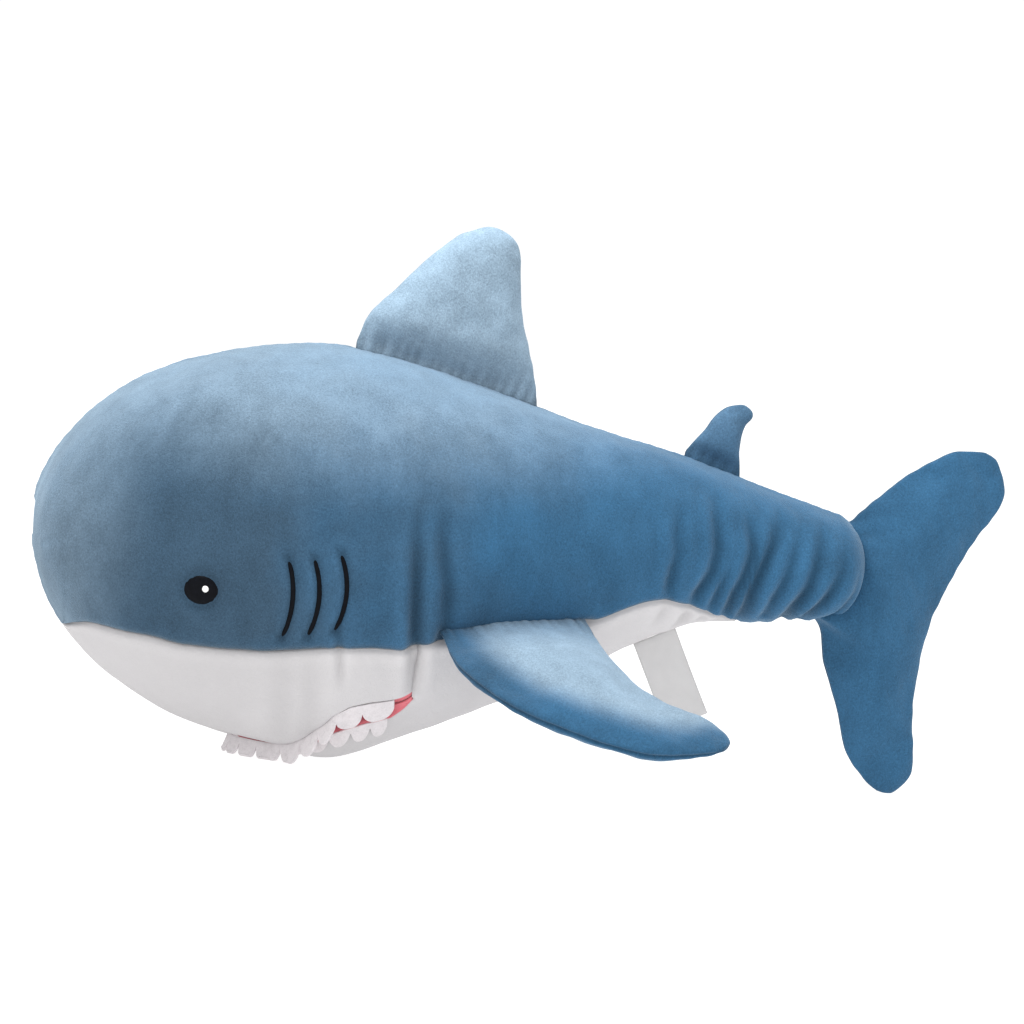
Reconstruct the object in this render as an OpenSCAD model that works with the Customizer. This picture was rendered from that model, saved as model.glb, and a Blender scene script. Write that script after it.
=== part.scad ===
// Plush shark: a stuffed toy sewn from short-pile fabric panels.
// Frame: nose towards -X, tail towards +X, left side towards -Y, +Z up, floor at z = 0.
// The origin is on the floor, under the middle of the toy. The toy is symmetric about y = 0.

/* [Body] */
// Length of the body from the nose to the end of the tail stock
body_len = 513; // [505:1:520]
// Height of the back above the floor
back_z = 252; // [246:1:258]
// Greatest width of the body
body_w = 212; // [196:1:228]
// Length of the rounded head, from the nose to the thickest section
head_len = 180; // [170:1:190]
// Height of the nose above the floor
nose_z = 134; // [128:1:140]

/* [Fabric] */
// Thickness of the plush fabric with its pile
skin_t = 2; // [1.5:0.1:2.5]
// Thickness of the felt used for the mouth and the teeth
felt_t = 1.5; // [1:0.1:2]
// Thickness of an embroidered patch
stitch_t = 1; // [0.6:0.1:1.4]

/* [Mouth] */
// Depth of the fold between the two mouth linings
mouth_depth = 9; // [6:0.5:12]
// Length of one tooth
tooth_len = 10; // [7:0.5:12]

/* [Eyes and gills] */
// Length of an embroidered eye
eye_len = 21; // [18:0.5:24]
// Height of an embroidered eye
eye_h = 18; // [15:0.5:20]
// Diameter of the light spot in an eye
glint_d = 4.6; // [3:0.1:6]
// Width of a satin-stitched gill line
gill_w = 2.6; // [2:0.1:3.4]

/* [Fins] */
// Half thickness of the dorsal fin
dorsal_t = 19; // [15:0.5:21]
// Half thickness of the small rear dorsal fin
rear_dorsal_t = 8; // [7:0.5:9]
// Half thickness of a pectoral fin
pectoral_t = 15; // [12:0.5:17]
// Half thickness of the tail fin
caudal_t = 15; // [12:0.5:17]

/* [Care label] */
// Width of the label tape
label_w = 28; // [24:1:30]
// Length of the folded label
label_len = 58; // [48:1:60]

/* [Hidden] */

// Colours
BLUE = [0.29, 0.46, 0.60];
WHITE = [0.90, 0.89, 0.88];
PINK = [0.86, 0.50, 0.54];
BLACK = [0.05, 0.05, 0.06];
FIBRE = [0.95, 0.94, 0.90];

// Where things lie along the body
nose_x = -300;
stock_end_x = nose_x + body_len;
head_x = nose_x + head_len;
bend_x = 145;           // the tail bends about a vertical line here
bend_slope = tan(31);   // the tail's front is a wedge this steep, so that it can bend
chin_x = -272;          // the white fabric starts here
belly_end_x = 108;      // and ends here
lip_x = -150;           // side ends of the front edge of the mouth
lip_gap = 3;            // the mouth's front gap is twice this
corner_x = -70;         // corners of the mouth
cap_len = 23;           // length of the tail stock's rounded end
cap_x = stock_end_x - cap_len;
cap_z = 141;            // and the height of its middle
chin_z = 5;             // height of the underside at the thickest section
belly_x = -108;         // the belly hangs lowest here, behind the mouth
belly_drop = 9.5;       // by this much
belly_reach = 30;       // and this far before and behind
gap = 0.3;              // between the skin and what lies under it

// Body sections: x, top, bottom, half width
TRUNK = [
    [-150, back_z - 1.6, 6.8, body_w / 2 - 0.6],
    [-120, back_z, chin_z, body_w / 2],
    [-70, 243, 17, 101],
    [-20, 230.5, 39, 88],
    [30, 216, 61, 73],
    [75, 206.5, 85, 61],
    [105, 199, 98, 52],
    [145, 187, 102.5, 42],
    [190, 174, 107.5, 36],
    [215, 167, 110, 33]
];
// Height of the seam between blue and white: x, z
SIDE_SEAM = [
    [-272, 67], [-250, 80], [-205, 75], [-165, 74], [-100, 79],
    [-57, 88], [34, 98], [60, 109], [78, 114], [97, 111], [108, 107]
];
// The same seam on the nose, and on the tail, as angles round the body
NOSE_SEAM = [[nose_x, 110], [chin_x, 160]];
tail_seam = 145;
// Mouth edges as shares of the white fabric's half width: x, upper lip, gap to the lower lip
LIPS = [
    [-300, 0.79, 0.10], [-150, 0.79, 0.10], [-112, 0.63, 0.10], [-90, 0.46, 0.08],
    [-70, 0.30, 0.02], [300, 0.30, 0.02]
];
// How far the mouth's front edge bows towards the nose, and how wide that arc is
LIP_BOW = [[-200, 0], [-150, 22], [-140, 22], [-100, 0]];
lip_arc = 14;
// The mouth fold gets shallower towards its corners
FOLD_FADE = [[-100, 1], [-75, 0.3]];

// ---------- curves and sections ----------

function segment(t, x, i = 0) = (i >= len(t) - 2 || x < t[i + 1][0]) ? i : segment(t, x, i + 1);
function slope(t, i, k) =
    let (a = max(i - 1, 0), b = min(i + 1, len(t) - 1)) (t[b][k] - t[a][k]) / (t[b][0] - t[a][0]);
// Smooth curve through column k of a table whose first column is the position
function curve(t, x, k) =
    let (i = segment(t, x), h = t[i + 1][0] - t[i][0], u = (x - t[i][0]) / h)
    (2 * u ^ 3 - 3 * u ^ 2 + 1) * t[i][k] + (u ^ 3 - 2 * u ^ 2 + u) * h * slope(t, i, k)
    + (3 * u ^ 2 - 2 * u ^ 3) * t[i + 1][k] + (u ^ 3 - u ^ 2) * h * slope(t, i + 1, k);
function linear(t, x, k) = lookup(x, [for (r = t) [r[0], r[k]]]);
function lerp(a, b, t) = a + (b - a) * t;
function unit(v) = v / norm(v);

// The belly bulges down behind the mouth, and is flat where it meets the floor
function bulge(x) = belly_drop * exp(-((x - belly_x) / belly_reach) ^ 2);
SIDE_ROUND = 2;         // roundness of the head, seen from the side and from above
TOP_ROUND = 2.4;
function head_share(x, n) = max(0, 1 - max(0, (head_x - x) / head_len) ^ n) ^ (1 / n);
function cap_share(x) = x < cap_x ? 1 : sqrt(max(0, 1 - ((x - cap_x) / cap_len) ^ 2));
function trunk(x, k) = curve(TRUNK, x, k);
// [top, bottom, half width] of the section at x
function section(x) =
    x < head_x
    ? [nose_z + (back_z - nose_z) * head_share(x, SIDE_ROUND),
       nose_z - (nose_z - chin_z) * head_share(x, SIDE_ROUND) - bulge(x),
       body_w / 2 * head_share(x, TOP_ROUND)]
    : [lerp(cap_z, trunk(x, 1), cap_share(x)),
       lerp(cap_z, trunk(x, 2) - bulge(x), cap_share(x)),
       trunk(x, 3) * cap_share(x)];
widest_share = 0.478;   // the widest point of a section, as a share of its height from the top
function widest_z(x) = let (s = section(x)) s[0] - widest_share * (s[0] - s[1]);
TOP_N = 2.1;            // roundness of the upper and lower half of a section
LOW_N = 2.2;

// Point of the skin at station x and angle a: 0 on the back, 90 left, 180 below, 270 right
function skin(x, a) =
    let (s = section(x), zc = widest_z(x), c = cos(a), n = c > 0 ? TOP_N : LOW_N,
         h = c > 0 ? s[0] - zc : zc - s[1])
    [x, -s[2] * sign(sin(a)) * abs(sin(a)) ^ (2 / n),
     max(0, zc + sign(c) * h * abs(c) ^ (2 / n))];
// Angle of the left side's point at station x and height z, below the widest point
function angle_at(x, z) =
    let (zc = widest_z(x), b = section(x)[1])
    acos(-min(1, max(0, (zc - z) / (zc - b))) ^ (LOW_N / 2));
function normal(x, a) =
    let (lo = max(x - 0.5, nose_x + 0.02), hi = min(x + 0.5, stock_end_x - 0.02))
    x <= nose_x ? [-1, 0, 0] : x >= stock_end_x ? [1, 0, 0]
    : unit(cross(skin(x, a + 1) - skin(x, a - 1), skin(hi, a) - skin(lo, a)));
function inset(x, a, d) = skin(x, a) - d * normal(x, a);

// ---------- the body's grid of stations and columns ----------

STATIONS = [
    nose_x, -298.5, -294, -285, chin_x, -266, -255, -235, -212, -190, -170,
    lip_x, lip_x + lip_gap, lip_x + 2 * lip_gap, -125, -118, -108, -98, -90, corner_x,
    -45, -20, 5, 30, 55, 80, belly_end_x, 126, bend_x - 0.3
];
I_CHIN = 4;
I_LIP = 11;
I_CORNER = 19;
I_BELLY_END = 26;
BLUE_COLS = 5;          // columns from the back to the blue and white seam
LIP_COL = 7;            // columns of the upper lip, the mouth fold, the lower lip and the belly
FOLD_COL = 8;
JAW_COL = 9;
HALF = 11;

function seam_angle(x) =
    x < chin_x + 0.1 ? lookup(x, NOSE_SEAM)
    : x > belly_end_x ? tail_seam : angle_at(x, curve(SIDE_SEAM, x, 1));
function half_angle(x, j) =
    let (s = seam_angle(x), rest = 180 - s,
         lip = s + rest * linear(LIPS, x, 1), jaw = lip + rest * linear(LIPS, x, 2))
    j <= BLUE_COLS ? s * j / BLUE_COLS
    : j <= LIP_COL ? lerp(s, lip, (j - BLUE_COLS) / (LIP_COL - BLUE_COLS))
    : j <= JAW_COL ? lerp(lip, jaw, (j - LIP_COL) / (JAW_COL - LIP_COL))
    : lerp(jaw, 180, (j - JAW_COL) / (HALF - JAW_COL));
function column_angle(x, j) = j <= HALF ? half_angle(x, j) : 360 - half_angle(x, 2 * HALF - j);
// The front edge of the mouth is an arc: stations near it bow towards the nose underneath
function bow(x, a) =
    let (d = abs(a - 180)) d > lip_arc ? 0 : (1 - (d / lip_arc) ^ 2) * lookup(x, LIP_BOW);
function at(i, j, d) =
    let (x = STATIONS[i], a = column_angle(x, j)) inset(x - bow(x, a), a, d);
function body_grid(depth) =
    [for (i = [0:len(STATIONS) - 1]) [for (j = [0:2 * HALF]) at(i, j, depth(i, j))]];

function mirrored(j) = j <= HALF ? j : 2 * HALF - j;
function in_fold(i, j) =
    let (k = mirrored(j))
    (i == I_LIP + 1 && k >= FOLD_COL) || (k == FOLD_COL && i > I_LIP && i < I_CORNER);
function in_band(i, j) =
    let (k = mirrored(j))
    (i >= I_LIP && i <= I_LIP + 2 && k >= LIP_COL)
    || (k >= LIP_COL && k <= JAW_COL && i >= I_LIP && i <= I_CORNER);
fold_depth = mouth_depth - skin_t;
function lining_depth(i, j) =
    skin_t + 0.1 + (in_fold(i, j) ? fold_depth * lookup(STATIONS[i], FOLD_FADE) : 0);
function fill_depth(i, j) =
    in_band(i, j) ? lining_depth(i, j) + felt_t + gap : skin_t + gap;

// ---------- solids from grids ----------

// Closed solid between two grids of points, over the cells for which keep(i, j) is true.
// A row whose points all coincide is a pole.
module shell(outer, inner, keep) {
    rows = len(outer);
    cols = len(outer[0]);
    count = rows * cols;
    function pole(i) = norm(outer[i][0] - outer[i][cols - 1]) + norm(outer[i][0] - outer[i][1]) < 1e-6;
    poles = [for (i = [0:rows - 1]) pole(i)];
    function has(i, j) = i >= 0 && j >= 0 && i < rows - 1 && j < cols - 1 && keep(i, j);
    function o(i, j) = i * cols + (poles[i] ? 0 : j);
    function n(i, j) = count + o(i, j);
    // Both panels at a seam split its wall along the same diagonal
    function wall(a, b, c, d) = o(a, b) < o(c, d)
        ? [[o(c, d), o(a, b), n(a, b)], [o(c, d), n(a, b), n(c, d)]]
        : [[o(c, d), o(a, b), n(c, d)], [o(a, b), n(a, b), n(c, d)]];
    function quad(a, b, c, d, j) =
        2 * j < cols - 1 ? [[a, b, c], [a, c, d]] : [[a, b, d], [b, c, d]];
    function back(tris) = [for (t = tris) [t[0], t[2], t[1]]];
    faces = [
        for (i = [0:rows - 2], j = [0:cols - 2]) if (has(i, j)) each concat(
            quad(o(i, j), o(i + 1, j), o(i + 1, j + 1), o(i, j + 1), j),
            back(quad(n(i, j), n(i + 1, j), n(i + 1, j + 1), n(i, j + 1), j)),
            has(i - 1, j) ? [] : wall(i, j + 1, i, j),
            has(i + 1, j) ? [] : wall(i + 1, j, i + 1, j + 1),
            has(i, j - 1) ? [] : wall(i, j, i + 1, j),
            has(i, j + 1) ? [] : wall(i + 1, j + 1, i, j + 1)
        )
    ];
    polyhedron(concat([for (r = outer) each r], [for (r = inner) each r]),
               [for (f = faces) if (f[0] != f[1] && f[1] != f[2] && f[0] != f[2]) f]);
}

// Closed solid around a grid whose last column meets its first
module loft(grid) {
    rows = len(grid);
    cols = len(grid[0]) - 1;
    function pole(i) = norm(grid[i][0] - grid[i][1]) < 1e-6;
    function p(i, j) = i * cols + (pole(i) ? 0 : j % cols);
    points = [for (r = grid) for (j = [0:cols - 1]) r[j]];
    function middle(r) = [for (k = [0:2]) (r[0][k] + r[cols / 2][k]) / 2];
    faces = concat(
        [for (i = [0:rows - 2], j = [0:cols - 1])
            let (a = p(i, j), b = p(i + 1, j), c = p(i + 1, j + 1), d = p(i, j + 1))
            each 2 * j < cols ? [[a, b, c], [a, c, d]] : [[a, b, d], [b, c, d]]],
        [for (j = [0:cols - 1]) [p(0, j), p(0, j + 1), rows * cols]],
        [for (j = [0:cols - 1]) [p(rows - 1, j + 1), p(rows - 1, j), rows * cols + 1]]
    );
    polyhedron(concat(points, [middle(grid[0]), middle(grid[rows - 1])]),
               [for (f = faces) if (f[0] != f[1] && f[1] != f[2] && f[0] != f[2]) f]);
}

SKIN_OUT = body_grid(function (i, j) 0);
SKIN_IN = body_grid(function (i, j) skin_t);

// ---------- body ----------

function is_blue(i, k) = k < BLUE_COLS || i < I_CHIN || i >= I_BELLY_END;

module body_fill() {
    color(FIBRE) loft(body_grid(function (i, j) fill_depth(i, j)));
}

module side_panel_left() {
    color(BLUE) shell(SKIN_OUT, SKIN_IN, function (i, j) j < HALF && is_blue(i, j));
}

module side_panel_right() {
    color(BLUE) shell(SKIN_OUT, SKIN_IN, function (i, j) j >= HALF && is_blue(i, 2 * HALF - 1 - j));
}

module snout_panel() {
    color(WHITE) shell(SKIN_OUT, SKIN_IN, function (i, j)
        let (k = j < HALF ? j : 2 * HALF - 1 - j)
        k >= BLUE_COLS && i >= I_CHIN && i < I_CORNER && (i < I_LIP || k < LIP_COL));
}

module belly_panel() {
    color(WHITE) shell(SKIN_OUT, SKIN_IN, function (i, j)
        let (k = j < HALF ? j : 2 * HALF - 1 - j)
        k >= BLUE_COLS && i < I_BELLY_END && (i >= I_CORNER || (i >= I_LIP + 2 && k >= JAW_COL)));
}

module lining(keep) {
    color(PINK) shell(
        body_grid(function (i, j) lining_depth(i, j)),
        body_grid(function (i, j) lining_depth(i, j) + felt_t),
        function (i, j)
            let (k = j < HALF ? j : 2 * HALF - 1 - j) i >= I_LIP && i < I_CORNER && keep(i, k));
}

module mouth_roof_lining() {
    lining(function (i, k) k == LIP_COL || (i == I_LIP && k > LIP_COL));
}

module mouth_floor_lining() {
    lining(function (i, k) i > I_LIP && (k == FOLD_COL || (i == I_LIP + 1 && k > FOLD_COL)));
}

// Point of a lip: t runs from 0 at a corner to 1 at the front's end, then to 2 at the middle
function lip_point(upper, t, d) =
    let (front = lip_x + (upper ? 0 : 2 * lip_gap), x = t < 1 ? lerp(corner_x, front, t) : front,
         edge = half_angle(x, upper ? LIP_COL : JAW_COL),
         a = t < 1 ? edge : lerp(edge, 180, t - 1))
    inset(x - bow(x, a), a, d);

// One felt tooth between two places of a lip: a plate that narrows to a blunt tip above the floor
tip_share = 0.3;
lowest_tip = 0.8;
module tooth(upper, t0, t1, reach) {
    p = lip_point(upper, t0, -0.5);
    q = lip_point(upper, t1, -0.5);
    w = felt_t * unit(cross(reach, q - p));
    outwards = w * (lip_point(upper, t0, -1) - p) > 0;
    share = reach[2] > -0.1 ? 1 : min(1, (min(p[2], q[2]) - lowest_tip) / -reach[2]);
    near = [[p, q], [lerp(p, q, tip_share) + share * reach, lerp(q, p, tip_share) + share * reach]];
    far = [for (r = near) [for (v = r) outwards ? v + w : v - w]];
    shell(outwards ? near : far, outwards ? far : near, function (i, j) true);
}

LEG_TEETH = 6;
leg_start = 0.2;        // where the first tooth of a leg starts, as a share of the leg
leg_span = 0.6;         // and how much of the leg they all take
FRONT_TEETH = 3;        // on each side of the middle
front_start = 1.03;
front_span = 0.95;
side_reach = 0.8;       // share of the mouth's width that an upper side tooth crosses
front_reach = 0.8;      // length of a front tooth, as a share of a side tooth's
// Upper teeth lie across the mouth, and lower teeth hang outside the lower lip
module teeth(upper) {
    color(WHITE) for (side = [0, 1]) mirror([0, side, 0]) {
        for (k = [0:LEG_TEETH - 1])
            let (t0 = leg_start + leg_span * k / LEG_TEETH,
                 t1 = t0 + 0.95 * leg_span / LEG_TEETH,
                 x = lerp(corner_x, lip_x, t0),
                 across = skin(x, half_angle(x, JAW_COL)) - skin(x, half_angle(x, LIP_COL)))
            tooth(upper, t0, t1, upper ? side_reach * across : unit([0, -0.6, -0.8]) * tooth_len);
        for (k = [0:FRONT_TEETH - 1])
            let (t0 = front_start + front_span * k / FRONT_TEETH)
            tooth(upper, t0, t0 + 0.9 * front_span / FRONT_TEETH,
                  unit([upper ? -0.4 : 0.8, 0, -1]) * tooth_len * front_reach);
    }
}

module upper_teeth() { teeth(true); }
module lower_teeth() { teeth(false); }

// Stands its children on the left side of the skin at x and z, lifted off it
module on_skin(x, z, lift) {
    a = angle_at(x, z);
    n = normal(x, a);
    u = unit(cross(n, [0, 0, 1]));
    v = cross(n, u);
    p = skin(x, a) + lift * n;
    multmatrix([[u[0], v[0], n[0], p[0]], [u[1], v[1], n[1], p[1]], [u[2], v[2], n[2], p[2]], [0, 0, 0, 1]])
        children();
}

eye_x = -199;
eye_z = 105;
patch_lift = 0.1;       // from the skin to an embroidered patch
glint_x = -2.5;         // the light spot's place in the eye
glint_z = 1;
function ellipse(w, h) = [for (k = [0:23]) [w / 2 * cos(15 * k), h / 2 * sin(15 * k)]];

module eye_left() {
    color(BLACK) on_skin(eye_x, eye_z, patch_lift) linear_extrude(stitch_t) polygon(ellipse(eye_len, eye_h));
}

module eye_glint_left() {
    color(WHITE) on_skin(eye_x, eye_z, 1.5 * patch_lift + stitch_t)
        translate([glint_x, -glint_z, 0]) linear_extrude(stitch_t / 2) polygon(ellipse(glint_d, glint_d));
}

module eye_right() { mirror([0, 1, 0]) eye_left(); }
module eye_glint_right() { mirror([0, 1, 0]) eye_glint_left(); }

// A narrow ribbon on the left side, through places [x, z], as wide as w
module ribbon(places, w, t) {
    function row(d) =
        [for (p = places) [for (s = [-0.5, 0.5]) inset(p[0] + s * w, angle_at(p[0] + s * w, p[1]), d)]];
    shell(row(-0.15 - t), row(-0.15), function (i, j) true);
}

// Gill lines: x of the ends, bow towards the tail, top, bottom
GILLS = [[-150.5, 4, 126, 81], [-136, 4.5, 128, 83], [-121, 5, 132, 87]];
GILL_STEPS = 6;

module gill_stitches_left() {
    color(BLACK) for (g = GILLS)
        ribbon([for (k = [0:GILL_STEPS])
                let (u = k / GILL_STEPS) [g[0] + 4 * g[1] * u * (1 - u), lerp(g[3], g[2], u)]],
               gill_w, stitch_t);
}

module gill_stitches_right() { mirror([0, 1, 0]) gill_stitches_left(); }

// The ladder stitches that close the filling slit, low on the right side of the belly
CLOSING = [-35, -27, -19, -11, -3, 5, 13];
module closing_stitches() {
    color(WHITE) mirror([0, 1, 0]) for (x = CLOSING) ribbon([[x, 66], [x, 69], [x, 72]], 1.4, 0.8);
}

// ---------- tail ----------

TAIL_ROWS = 6;
TAIL_COLS = 16;
// The tail's front is a wedge: its stations start at the wedge and end at the stock's end
function wedge_x(a, x = bend_x, n = 4) =
    n == 0 ? x : wedge_x(a, bend_x + 1 + abs(skin(x, a)[1]) * bend_slope, n - 1);
function tail_point(i, j, d) =
    let (a = 360 * j / TAIL_COLS, u = i / TAIL_ROWS, start = wedge_x(a))
    inset(lerp(start, stock_end_x, 1 - (1 - u) ^ 1.5), a, d);
function tail_grid(d) = [for (i = [0:TAIL_ROWS]) [for (j = [0:TAIL_COLS]) tail_point(i, j, d)]];

module tail_fill() {
    color(FIBRE) loft(tail_grid(skin_t + gap));
}

module tail_panel_left() {
    color(BLUE) shell(tail_grid(0), tail_grid(skin_t), function (i, j) j < TAIL_COLS / 2);
}

module tail_panel_right() {
    color(BLUE) shell(tail_grid(0), tail_grid(skin_t), function (i, j) j >= TAIL_COLS / 2);
}

// ---------- fins ----------

// A fin's outline as rows [share, front x, front z, rear x, rear z] from its root to its tip
DORSAL = [
    [0, -111, 254, -2, 228.5], [0.2, -105, 270, -8, 252], [0.4, -93, 287, -13.5, 275],
    [0.6, -79, 303, -17, 298], [0.8, -62, 319, -20, 317], [1, -44, 331, -28, 329]
];
REAR_DORSAL = [
    [0, 97, 203, 129, 194], [0.35, 104, 216, 129.5, 212], [0.7, 113, 229, 131, 226],
    [1, 124, 237, 135, 235]
];
// The tail fin's rows run from the tip of its upper lobe to the tip of its lower lobe
CAUDAL = [
    [0, 283, 217, 300, 206], [0.08, 262, 211, 297, 185], [0.16, 240, 199, 285, 163],
    [0.24, 222, 187, 274, 142], [0.31, 207, 175, 267, 126], [0.38, 214, 159, 262, 113],
    [0.45, 217, 141, 259, 101], [0.52, 213, 122, 257, 90], [0.59, 203, 109, 256, 78],
    [0.66, 185, 100, 254.5, 64], [0.75, 194, 78, 254.5, 48], [0.84, 203, 53, 256.5, 31],
    [0.92, 215, 25, 256, 17], [1, 232, 3, 247, 0]
];
// A pectoral fin's outline in its own plane: along the root, and out from it
PECTORAL = [
    [0, 0, 0, 94, 0], [0.15, -2, 26, 92, 30], [0.3, 3, 48, 94, 57], [0.5, 17, 77, 99, 76],
    [0.7, 44, 107, 109, 91], [0.85, 72, 127, 120, 101], [1, 104, 134, 129, 114]
];

RIM = 1.2;              // half thickness of a fin's seamed edge
FIN_V = [0, 0.12, 0.3, 0.5, 0.7, 0.88, 1];
FIN_U = [0, 0.1, 0.28, 0.5, 0.72, 0.9, 1];
CAUDAL_V = [0, 0.08, 0.2, 0.31, 0.38, 0.45, 0.52, 0.6, 0.7, 0.82, 0.93, 1];

function swell(u, v) = sin(180 * v ^ 0.85) ^ 0.6 * sqrt(max(0, 4 * u * (1 - u)));
function fin_half(t, u, v) = RIM + (t - RIM) * swell(u, v);
function fin_point(rows, u, v, y) =
    [lerp(curve(rows, v, 1), curve(rows, v, 3), u), y, lerp(curve(rows, v, 2), curve(rows, v, 4), u)];
function fin_grid(rows, vs, half) =
    [for (v = vs) [for (u = FIN_U) fin_point(rows, u, v, -half(u, v))]];

// The fin's panel on its -Y side, from its outer face to the middle plane or the filling
module fin_panel(rows, vs, t) {
    color(BLUE) shell(
        fin_grid(rows, vs, function (u, v) fin_half(t, u, v)),
        fin_grid(rows, vs, function (u, v) max(0, fin_half(t, u, v) - skin_t)),
        function (i, j) true);
}

module fin_filling(rows, vs, t) {
    inner_rows = len(vs) - 2;
    inner_cols = len(FIN_U) - 2;
    function half(u, v) = max(0.1, fin_half(t, u, v) - skin_t - gap);
    color(FIBRE) shell(
        fin_grid(rows, vs, function (u, v) half(u, v)),
        fin_grid(rows, vs, function (u, v) -half(u, v)),
        function (i, j) i > 0 && j > 0 && i < inner_rows && j < inner_cols);
}

module caudal_fill() { fin_filling(CAUDAL, CAUDAL_V, caudal_t); }
module caudal_panel_left() { fin_panel(CAUDAL, CAUDAL_V, caudal_t); }
module caudal_panel_right() { mirror([0, 1, 0]) caudal_panel_left(); }

module dorsal_fill() { fin_filling(DORSAL, FIN_V, dorsal_t); }
module dorsal_panel_left() { fin_panel(DORSAL, FIN_V, dorsal_t); }
module dorsal_panel_right() { mirror([0, 1, 0]) dorsal_panel_left(); }

module rear_dorsal_fill() { fin_filling(REAR_DORSAL, FIN_V, rear_dorsal_t); }
module rear_dorsal_panel_left() { fin_panel(REAR_DORSAL, FIN_V, rear_dorsal_t); }
module rear_dorsal_panel_right() { mirror([0, 1, 0]) rear_dorsal_panel_left(); }

// The left pectoral fin's root line, just off the skin, and the way the fin points
PECTORAL_FRONT = [-57, -94, 88];
PECTORAL_REAR = [34, -65, 98];
PECTORAL_TIP = [101, -165, 43];
root_dir = unit(PECTORAL_REAR - PECTORAL_FRONT);
fin_up = unit(cross(PECTORAL_TIP - PECTORAL_FRONT, root_dir));
fin_out = cross(root_dir, fin_up);

module at_pectoral() {
    multmatrix([
        [root_dir[0], fin_up[0], fin_out[0], PECTORAL_FRONT[0]],
        [root_dir[1], fin_up[1], fin_out[1], PECTORAL_FRONT[1]],
        [root_dir[2], fin_up[2], fin_out[2], PECTORAL_FRONT[2]],
        [0, 0, 0, 1]
    ]) children();
}

module pectoral_fill_left() { at_pectoral() fin_filling(PECTORAL, FIN_V, pectoral_t); }
module pectoral_lower_left() { at_pectoral() fin_panel(PECTORAL, FIN_V, pectoral_t); }
module pectoral_upper_left() { at_pectoral() mirror([0, 1, 0]) fin_panel(PECTORAL, FIN_V, pectoral_t); }
module pectoral_fill_right() { mirror([0, 1, 0]) pectoral_fill_left(); }
module pectoral_lower_right() { mirror([0, 1, 0]) pectoral_lower_left(); }
module pectoral_upper_right() { mirror([0, 1, 0]) pectoral_upper_left(); }

// ---------- care label ----------

LABEL_CORNER = [73, 0, 82.5];   // front end of its sewn edge, under the belly
label_turn = -22;             // rise of the sewn edge towards the tail
label_thick = 0.8;            // two layers of tape

module care_label() {
    color(WHITE) translate(LABEL_CORNER) rotate([0, label_turn, 0])
        translate([0, -label_thick / 2, -label_len]) cube([label_w, label_thick, label_len]);
}

body_fill();
side_panel_left();
side_panel_right();
snout_panel();
belly_panel();
mouth_roof_lining();
mouth_floor_lining();
upper_teeth();
lower_teeth();
eye_left();
eye_right();
eye_glint_left();
eye_glint_right();
gill_stitches_left();
gill_stitches_right();
closing_stitches();
tail_fill();
tail_panel_left();
tail_panel_right();
caudal_fill();
caudal_panel_left();
caudal_panel_right();
dorsal_fill();
dorsal_panel_left();
dorsal_panel_right();
rear_dorsal_fill();
rear_dorsal_panel_left();
rear_dorsal_panel_right();
pectoral_fill_left();
pectoral_upper_left();
pectoral_lower_left();
pectoral_fill_right();
pectoral_upper_right();
pectoral_lower_right();
care_label();
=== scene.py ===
"""Plush shark: a stuffed toy sewn from short-pile panels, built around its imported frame.

Frame: nose towards -X, tail towards +X, left side towards -Y, floor at z = 0, in metres.
The toy's own measures are kept in millimetres here, as on a sewing pattern, and scaled by MM.
"""

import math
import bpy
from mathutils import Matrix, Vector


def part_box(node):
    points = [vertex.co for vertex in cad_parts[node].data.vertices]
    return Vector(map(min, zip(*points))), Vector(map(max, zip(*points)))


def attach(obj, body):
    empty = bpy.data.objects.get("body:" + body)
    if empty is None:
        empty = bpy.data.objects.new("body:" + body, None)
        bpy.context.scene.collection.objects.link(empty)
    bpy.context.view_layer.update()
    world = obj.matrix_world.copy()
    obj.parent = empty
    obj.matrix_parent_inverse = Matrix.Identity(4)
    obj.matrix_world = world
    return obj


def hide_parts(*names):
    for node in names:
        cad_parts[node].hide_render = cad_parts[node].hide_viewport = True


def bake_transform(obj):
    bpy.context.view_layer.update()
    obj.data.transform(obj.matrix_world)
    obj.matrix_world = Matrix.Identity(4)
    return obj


bl_info = {
    "name": "Plush Shark",
    "version": (1, 0, 0),
    "blender": (4, 5, 0),
    "location": "3D View > Sidebar > Plush Shark",
    "description": "Builds a sewn and stuffed plush shark piece by piece",
    "category": "Add Mesh",
}

import bmesh
import bpy
import numpy as np
from bpy.props import FloatProperty, FloatVectorProperty, PointerProperty
from mathutils import Matrix, Vector

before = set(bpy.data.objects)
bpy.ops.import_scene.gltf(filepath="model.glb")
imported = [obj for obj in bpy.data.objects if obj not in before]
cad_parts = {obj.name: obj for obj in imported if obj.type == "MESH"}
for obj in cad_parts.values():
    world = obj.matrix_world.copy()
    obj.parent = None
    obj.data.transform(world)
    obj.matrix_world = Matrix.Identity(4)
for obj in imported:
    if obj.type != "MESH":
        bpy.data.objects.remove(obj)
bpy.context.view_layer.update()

MM = 0.001
SIDE_LOW, SIDE_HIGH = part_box("side_panel_left")
TAIL_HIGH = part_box("tail_panel_left")[1]

# ---------- the pattern: measures in millimetres ----------

NOSE_X = SIDE_LOW.x / MM
STOCK_END_X = TAIL_HIGH.x / MM
BACK_Z = SIDE_HIGH.z / MM
HALF_WIDTH = -SIDE_LOW.y / MM
HEAD_LEN = 180
HEAD_X = NOSE_X + HEAD_LEN
NOSE_Z = 134
CHIN_Z = 5
CAP_LEN = 20
CAP_X = STOCK_END_X - CAP_LEN
CAP_Z = 141
BELLY_X = -108
BELLY_DROP = 5
BELLY_REACH = 30
WIDEST = 0.478
TOP_N = 2.1
LOW_N = 2.2

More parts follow.
